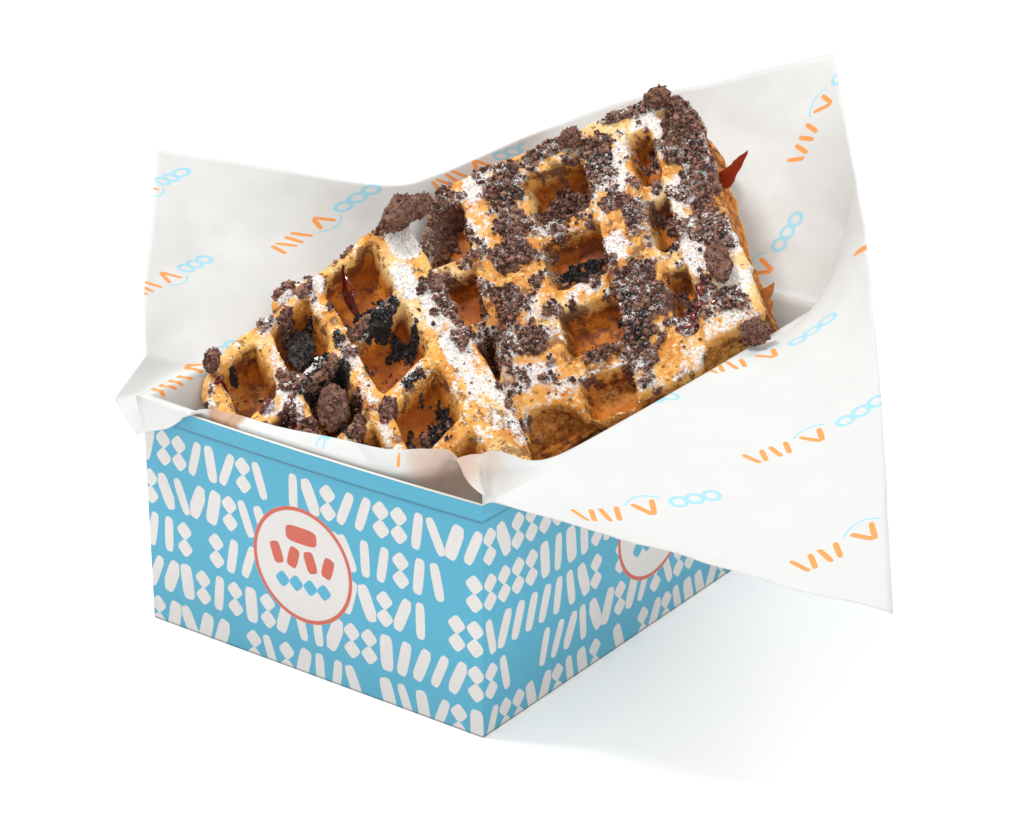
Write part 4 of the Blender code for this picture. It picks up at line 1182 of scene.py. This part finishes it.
class WAFFLES_OT_liner(bpy.types.Operator):
    """Lay the creased paper sheet"""
    bl_idname = "waffles.liner"
    bl_label = "Paper liner"

    def execute(self, context):
        look = context.scene.liner_look
        stations, points, arc, rim = liner_surface(steps=396, fine=12)
        rows, columns = points.shape[:2]
        faces = grid_faces(rows, columns, wrap_rows=True)
        lattices, region = print_places(stations, points, arc, rim)
        side = np.repeat(region, columns)[faces[:, :1]]
        uv = lattices.reshape(3, -1, 2)[side, faces]
        liner = new_piece("liner_sheet", points.reshape(-1, 3), faces, liner_material(look), uv=uv)
        tidy_mesh(liner, 2e-6)
        sheet = liner.modifiers.new("Paper", "SOLIDIFY")
        sheet.thickness = look.paper
        sheet.offset = 0
        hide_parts("paper_liner")
        return {"FINISHED"}


class WAFFLES_OT_waffles(bpy.types.Operator):
    """Make the three waffle pieces"""
    bl_idname = "waffles.waffles"
    bl_label = "Waffles"

    def execute(self, context):
        look = context.scene.waffle_look
        material = waffle_material(look)
        for waffle in WAFFLES:
            points, faces, values, heights = waffle_surface(waffle, look.pitch / MM)
            HEIGHTS[waffle["name"]] = heights
            piece = new_piece(waffle["name"] + "_baked", points, faces, material, values=values)
            tidy_mesh(piece)
            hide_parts(waffle["node"])
        return {"FINISHED"}


RIGHT_RIM = {"frame": waffle_frame((56.5, 42.5, 66.1), (1, 0, 0), (0, -1, 0)), "depth": 0,
             "columns": [], "rows": []}
CHUNKS = [
    ("chunk_big", LEANING, (-48, 34.4), (5.6, 6.6, 5.2)),
    ("chunk_flat", LEANING, (-48, 11), (5.0, 5.6, 2.0)),
    ("chunk_left", LEANING, (-77, -0.5), (3.0, 2.7, 3.1)),
    ("clump_back", LEANING, (-2.5, 4.5), (8.0, 5.0, 4.4)),
    ("chunk_back", BIG, (37, 3.8), (3.6, 3.2, 2.8)),
    ("chunk_top", BIG, (65, 1.6), (4.2, 2.9, 3.2)),
    ("chunk_right", BIG, (69, 65), (3.9, 6.8, 2.2)),
    ("chunk_on_rim", RIGHT_RIM, (0, 0), (4.6, 4.0, 3.9)),
]


DARK_CHUNKS = ("chunk_flat",)
GRAINS_ON_A_CHUNK = 420
CHUNK_SKINS = {}


def in_pocket(waffle, p, q):
    return any(left + 1.5 < p < right - 1.5 and near + 1.5 < q < far - 1.5
               for left, right, near, far in pocket_beds(waffle))


def lump_surface(half, seed, rows=72, columns=48):
    """A broken lump: a ball r = 1 - facets + noise, stretched to the half sizes, lowest point at 0."""
    turn = np.linspace(0, 2 * math.pi, rows, endpoint=False)[:, None]
    rise = np.linspace(-math.pi / 2, math.pi / 2, columns)[None, :]
    ball = np.stack([np.cos(turn) * np.cos(rise), np.sin(turn) * np.cos(rise),
                     np.broadcast_to(np.sin(rise), (rows, columns))], axis=-1)
    shifted = ball + seed * 3.1
    facet = np.abs(noise(shifted, 0.8, seed)) * 0.24
    reach = 0.98 - facet + 0.15 * noise(shifted, 0.42, seed + 1) + 0.09 * noise(shifted, 0.18, seed + 2)
    reach += 0.05 * noise(shifted, 0.08, seed + 3)
    points = ball * reach[..., None] * np.array(half)
    points[..., 2] -= points[..., 2].min()
    return points, grid_faces(rows, columns, wrap_rows=True)


def put_on(waffle, points, p, q, h):
    """Points in a small piece's own axes, moved to a waffle's place and turned to its grid."""
    along, down, up = waffle["frame"][1:]
    base = to_world(waffle, p, q, h)
    return base + points[..., :1] * along - points[..., 1:2] * down + points[..., 2:] * up


class WAFFLES_OT_chunks(bpy.types.Operator):
    """Break the larger cookie chunks"""
    bl_idname = "waffles.chunks"
    bl_label = "Cookie chunks"

    def execute(self, context):
        look = context.scene.waffle_look
        brown = crumb_material("cookie_brown_look", look.crumb_deep, look.crumb, 0.0)
        dark = crumb_material("cookie_dark_look", (0.014, 0.011, 0.012), (0.10, 0.078, 0.072), 0.0)
        for index, (name, carrier, (p, q), half) in enumerate(CHUNKS):
            points, faces = lump_surface(half, index + 5)
            height = -carrier["depth"] if in_pocket(carrier, p, q) else 0.0
            lift = 0.25 if carrier is RIGHT_RIM else 0.35
            world = put_on(carrier, points, p, q, height + lift).reshape(-1, 3)
            if name == "clump_back":
                beside_at = to_world(carrier, 4.6, 6.2, 0.0)
                beside = world * 0.72 + to_world(carrier, 4.6, 6.2, -1.2) * 0.28
                beside = beside + 0.72 * (beside_at - to_world(carrier, p, q, 0.0))
                faces = np.concatenate([faces, faces + len(world)])
                world = np.concatenate([world, beside])
            CHUNK_SKINS[name] = world
            material = dark if name in DARK_CHUNKS else brown
            piece = new_piece(name + "_broken", world, faces, material, values={
                "tint": np.clip(0.5 + 0.4 * noise(world, 1.2, 3), 0, 1)})
            tidy_mesh(piece)
            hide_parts(name)
        return {"FINISHED"}


# The waffles' shares of the toppings, and how many places are drawn for each grain that is kept.
TOPPED_AREAS = (4.0, 3.2, 0.5)
TRIES = 16


def scatter(draw, count, kind, sizes, lift):
    """Seeded places on the waffles, likeliest where the kind's field is above 0.5.

    Gives world points, sizes and how much sugar lies on each grain.
    """
    found = []
    area = np.array(TOPPED_AREAS)
    for waffle, share in zip(WAFFLES, area / area.sum()):
        heights = HEIGHTS[waffle["name"]]
        wanted = int(count * share)
        tries = wanted * TRIES
        p = draw.uniform(heights["p"][0], heights["p"][-1], tries)
        q = draw.uniform(heights["q"][0], heights["q"][-1], tries)
        strength = read_grid(heights, kind, p, q)
        chance = 0.006 + 0.994 * smooth((strength - 0.38) / 0.25)
        inside = read_grid(heights, "distance", p, q) < -0.2
        kept = np.flatnonzero(inside & (draw.uniform(0, 1, tries) < chance))[:wanted]
        size = sizes[0] * (sizes[1] / sizes[0]) ** (draw.uniform(0, 1, len(kept)) ** 2.1)
        size *= 0.6 + 0.4 * smooth((strength[kept] - 0.3) / 0.2)
        pile = draw.uniform(0, lift, len(kept)) * np.clip(strength[kept] - 0.4, 0, 0.8)
        ground = read_grid(heights, "upper", p[kept], q[kept])
        world = to_world(waffle, p[kept], q[kept], ground + size * 0.35 + pile)
        powder = np.clip(read_grid(heights, "sugar", p[kept], q[kept]), 0, 1)
        found.append((hold_in_paper(world), size, powder * draw.uniform(0.2, 1.0, len(kept))))
    return [np.concatenate([item[part] for item in found]) for part in range(3)]


def strewn_mesh(draw, places, sizes, squash):
    """One mesh of small uneven grains: each an eight-sided lump whose corners are pulled at random."""
    corners = np.array([(1, 0, 0), (0, 1, 0), (-1, 0, 0), (0, -1, 0), (0, 0, 1), (0, 0, -1)], float)
    sides = [(corner, (corner + 1) % 4) for corner in range(4)]
    faces = np.array([(a, b, 4) for a, b in sides] + [(b, a, 5) for a, b in sides])
    count = len(places)
    pull = draw.uniform(0.75, 1.35, (count, len(corners), 1))
    shape = corners[None] * pull * draw.uniform(1 - squash, 1, (count, 1, 3))
    turn = unit(draw.normal(size=(count, 4)))
    w, xyz = turn[:, None, :1], turn[:, None, 1:]
    spun = shape + 2 * np.cross(xyz, np.cross(xyz, shape) + w * shape)
    points = places[:, None] + spun * sizes[:, None, None]
    every = faces[None] + (np.arange(count) * len(corners))[:, None, None]
    return points.reshape(-1, 3), every.reshape(-1, 3), len(corners)


def stuck_on_chunks(draw, dark):
    """Grains on the skins of the chunks: random points of each lump."""
    places, sizes = [], []
    for name, skin in CHUNK_SKINS.items():
        if (name in DARK_CHUNKS) != dark:
            continue
        picked = skin[draw.integers(0, len(skin), GRAINS_ON_A_CHUNK)]
        places.append(picked + draw.normal(0, 0.15, picked.shape))
        sizes.append(draw.uniform(0.22, 0.62, len(picked)))
    return np.concatenate(places), np.concatenate(sizes)


class WAFFLES_OT_crumbs(bpy.types.Operator):
    """Strew brown and near-black cookie crumbs and clumps of sugar"""
    bl_idname = "waffles.crumbs"
    bl_label = "Crumbs and sugar"

    def execute(self, context):
        look = context.scene.topping_look
        colours = context.scene.waffle_look
        draw = np.random.default_rng(look.seed)
        brown = crumb_material("crumb_brown_look", toned(colours.crumb_deep, 0.8),
                               toned(colours.crumb, 1.2), 0.4)
        black = crumb_material("crumb_black_look", (0.010, 0.008, 0.009), (0.062, 0.052, 0.052), 0.45)
        kinds = (("crumbs_brown", look.brown_crumbs, "crumb", (0.27, 1.25), 1.8, brown),
                 ("crumbs_black", look.black_crumbs, "black", (0.24, 0.8), 1.0, black),
                 ("sugar_clumps", look.sugar_grains, "sugar", (0.18, 0.45), 0.4, sugar_material(colours)))
        for name, count, kind, sizes, lift, material in kinds:
            places, size, powder = scatter(draw, count, kind, sizes, lift)
            if kind in ("crumb", "black"):
                stuck, stuck_size = stuck_on_chunks(draw, kind == "black")
                places, size = np.concatenate([places, stuck]), np.concatenate([size, stuck_size])
                powder = np.concatenate([powder, np.zeros(len(stuck))])
            points, faces, corners = strewn_mesh(draw, places, size, squash=0.35)
            tint = np.repeat(draw.uniform(0, 1, len(places)), corners)
            dusted = np.repeat(powder, corners)
            piece = new_piece(name, points, faces, material, flat=True,
                              values={"tint": tint, "dusted": dusted})
            "dark_cookie" if kind != "sugar" else "waffle_crust"
        return {"FINISHED"}


def blob_surface(waffle, p, q, h, half, seed):
    """A drop of sauce at a waffle's place: a small lump, sunk by 0.7 of its half height."""
    points, faces = lump_surface(half, seed, 22, 16)
    return put_on(waffle, points, p, q, h - half[2] * 0.7).reshape(-1, 3), faces


SAUCE_DROPS = [
    (LEANING, -25.7, 5.6, -2.6, (0.7, 2.8, 0.6)), (LEANING, -25.0, 8.6, -6.4, (0.8, 1.8, 0.9)),
    (LEANING, -60, 26, 0.1, (0.9, 3.2, 0.4)), (LEANING, -67, 20.2, 0.1, (2.0, 1.2, 0.5)),
    (LEANING, -76.5, 4.0, 0.0, (1.8, 0.8, 0.5)), (BIG, 61.6, 70.0, 0.2, (1.2, 2.6, 0.8)),
    (BIG, 60.2, 74.6, 0.1, (1.8, 1.4, 0.8)), (BIG, 55.5, 80.0, 0.0, (2.2, 0.9, 0.5)),
    (BIG, 64.4, 75.6, 0.1, (1.1, 1.3, 0.7)), (BIG, 57.6, 77.6, 0.1, (0.9, 1.6, 0.6)),
]


SHARDS = (
    ("cookie_flake", (15.5, 87.5, 91.5), (27.0, 84.0, 106.2), 3.4, (0.42, 0.05, 0.015)),
    ("torn_shard", (43.5, 63.0, 66.5), (47.5, 67.0, 75.6), 3.0, (0.55, 0.18, 0.03)),
)


class WAFFLES_OT_shards(bpy.types.Operator):
    """Stand the pointed flake and the torn bit on the big waffle's right border"""
    bl_idname = "waffles.shards"
    bl_label = "Flake and torn bit"

    def execute(self, context):
        rows, columns = 24, 14
        towards_photo = (0.542, -0.741, 0.395)
        for index, (name, foot, tip, wide, tone) in enumerate(SHARDS):
            foot, tip = np.array(foot), np.array(tip)
            turn = np.linspace(0, 2 * math.pi, rows, endpoint=False)[:, None, None]
            rise = np.linspace(0, 1, columns)[None, :, None]
            across = unit(np.cross(tip - foot, towards_photo))
            thick = unit(np.cross(tip - foot, across))
            girth = wide * np.minimum(rise * 6 + 0.3, 1) * np.clip(1 - rise, 0, 1) ** 0.85
            girth = girth * (1 - (rise > 0.999)) * (1 - (rise < 0.001))
            points = foot + (tip - foot) * rise + girth * (across * np.cos(turn) + thick * 0.3 * np.sin(turn))
            points = points + across * (noise(points, 2.5, 90 + index) * 0.6)[..., None] * (girth > 0)
            faces = grid_faces(rows, columns, wrap_rows=True)
            material = crumb_material(name + "_look", toned(tone, 0.45), tone, 0.0)
            material.node_tree.nodes["Principled BSDF"].inputs["Roughness"].default_value = 0.35
            piece = new_piece(name, points.reshape(-1, 3), faces, material,
                              values={"tint": np.full(points.size // 3, 0.6)})
            tidy_mesh(piece)
        return {"FINISHED"}


class WAFFLES_OT_sauce(bpy.types.Operator):
    """Drip the dark red sauce"""
    bl_idname = "waffles.sauce"
    bl_label = "Sauce"

    def execute(self, context):
        material = sauce_material(context.scene.waffle_look)
        points, faces, count = [], [], 0
        for index, (waffle, p, q, h, half) in enumerate(SAUCE_DROPS):
            drop, quads = blob_surface(waffle, p, q, h, half, index + 40)
            points.append(drop)
            faces.append(quads + count)
            count += len(drop)
        piece = new_piece("sauce_drops", np.concatenate(points), np.concatenate(faces), material)
        tidy_mesh(piece)
        return {"FINISHED"}


# Name, place and side in metres, and share of the key light's power.
LAMPS = (("key", (-0.42, -0.22, 1.0), 2.0, 0.22), ("back", (0.1, 0.8, 0.9), 0.8, 0.5),
         ("fill", (0.8, -0.35, 0.45), 0.48, 0.7))
# The photograph's camera: place, turn about Z, height angle, lens in mm on a sensor 36 mm wide.
CAMERA_AT = (0.4396, -0.5948, 0.3660)
CAMERA_TURN, CAMERA_HEIGHT, CAMERA_LENS = 36.170, 23.3, 101.95


class WAFFLES_OT_stage(bpy.types.Operator):
    """Set the floor, the soft light and the camera at the photograph's angle"""
    bl_idname = "waffles.stage"
    bl_label = "Stage"

    def execute(self, context):
        look = context.scene.stage_look
        material, _, shader = new_material("floor_look", Roughness=0.9)
        shader.inputs["Base Color"].default_value = (*look.floor, 1.0)
        shader.inputs["Emission Color"].default_value = (1.0, 1.0, 1.0, 1.0)
        shader.inputs["Emission Strength"].default_value = look.floor_glow
        mesh = bpy.data.meshes.new("floor")
        mesh.from_pydata([(-4, -4, 0), (4, -4, 0), (4, 4, 0), (-4, 4, 0)], [], [(0, 1, 2, 3)])
        mesh.materials.append(material)
        floor = bpy.data.objects.new("floor", mesh)
        context.scene.collection.objects.link(floor)
        world = bpy.data.worlds.new("room")
        world.use_nodes = True
        world.node_tree.nodes["Background"].inputs["Color"].default_value = (1.0, 1.0, 1.0, 1.0)
        world.node_tree.nodes["Background"].inputs["Strength"].default_value = look.sky
        context.scene.world = world
        for name, place, share, side in LAMPS:
            lamp = bpy.data.lights.new(name, "AREA")
            lamp.energy = look.key * share
            lamp.size = side
            light = bpy.data.objects.new(name, lamp)
            light.location = place
            aim = np.array([0.0, 0.0, 0.05]) - np.array(place)
            light.rotation_euler = (math.acos(-aim[2] / np.linalg.norm(aim)), 0,
                                    math.atan2(aim[1], aim[0]) - math.pi / 2)
            context.scene.collection.objects.link(light)
        lens = bpy.data.cameras.new("photo_camera")
        lens.sensor_width = 36.0
        lens.lens = CAMERA_LENS
        lens.clip_start = 0.01
        camera = bpy.data.objects.new("photo_camera", lens)
        camera.location = CAMERA_AT
        camera.rotation_euler = (math.radians(90 - CAMERA_HEIGHT), 0, math.radians(CAMERA_TURN))
        context.scene.collection.objects.link(camera)
        context.scene.camera = camera
        context.scene.view_settings.view_transform = "Standard"
        return {"FINISHED"}


OPERATORS = (WAFFLES_OT_carton, WAFFLES_OT_liner, WAFFLES_OT_waffles, WAFFLES_OT_chunks,
             WAFFLES_OT_crumbs, WAFFLES_OT_sauce, WAFFLES_OT_shards, WAFFLES_OT_stage)


class WAFFLES_PT_parts(bpy.types.Panel):
    """The pieces of the lined carton"""
    bl_label = "Waffles in a lined carton"
    bl_space_type = "VIEW_3D"
    bl_region_type = "UI"
    bl_category = "Waffles"

    def draw(self, context):
        for operator in OPERATORS:
            self.layout.operator(operator.bl_idname)
        for key, _ in LOOKS:
            settings = getattr(context.scene, key)
            box = self.layout.box()
            for name in settings.__annotations__:
                box.prop(settings, name)


def register():
    for _, group in LOOKS:
        bpy.utils.register_class(group)
    for key, group in LOOKS:
        setattr(bpy.types.Scene, key, bpy.props.PointerProperty(type=group))
    for cls in (*OPERATORS, WAFFLES_PT_parts):
        bpy.utils.register_class(cls)


def unregister():
    for cls in reversed((*OPERATORS, WAFFLES_PT_parts)):
        bpy.utils.unregister_class(cls)
    for key, group in reversed(LOOKS):
        delattr(bpy.types.Scene, key)
        bpy.utils.unregister_class(group)


def main():
    """Make every piece."""
    register()
    for name in ("carton", "liner", "waffles", "chunks", "crumbs", "sauce", "shards", "stage"):
        getattr(bpy.ops.waffles, name)()


if __name__ == "__main__":
    main()
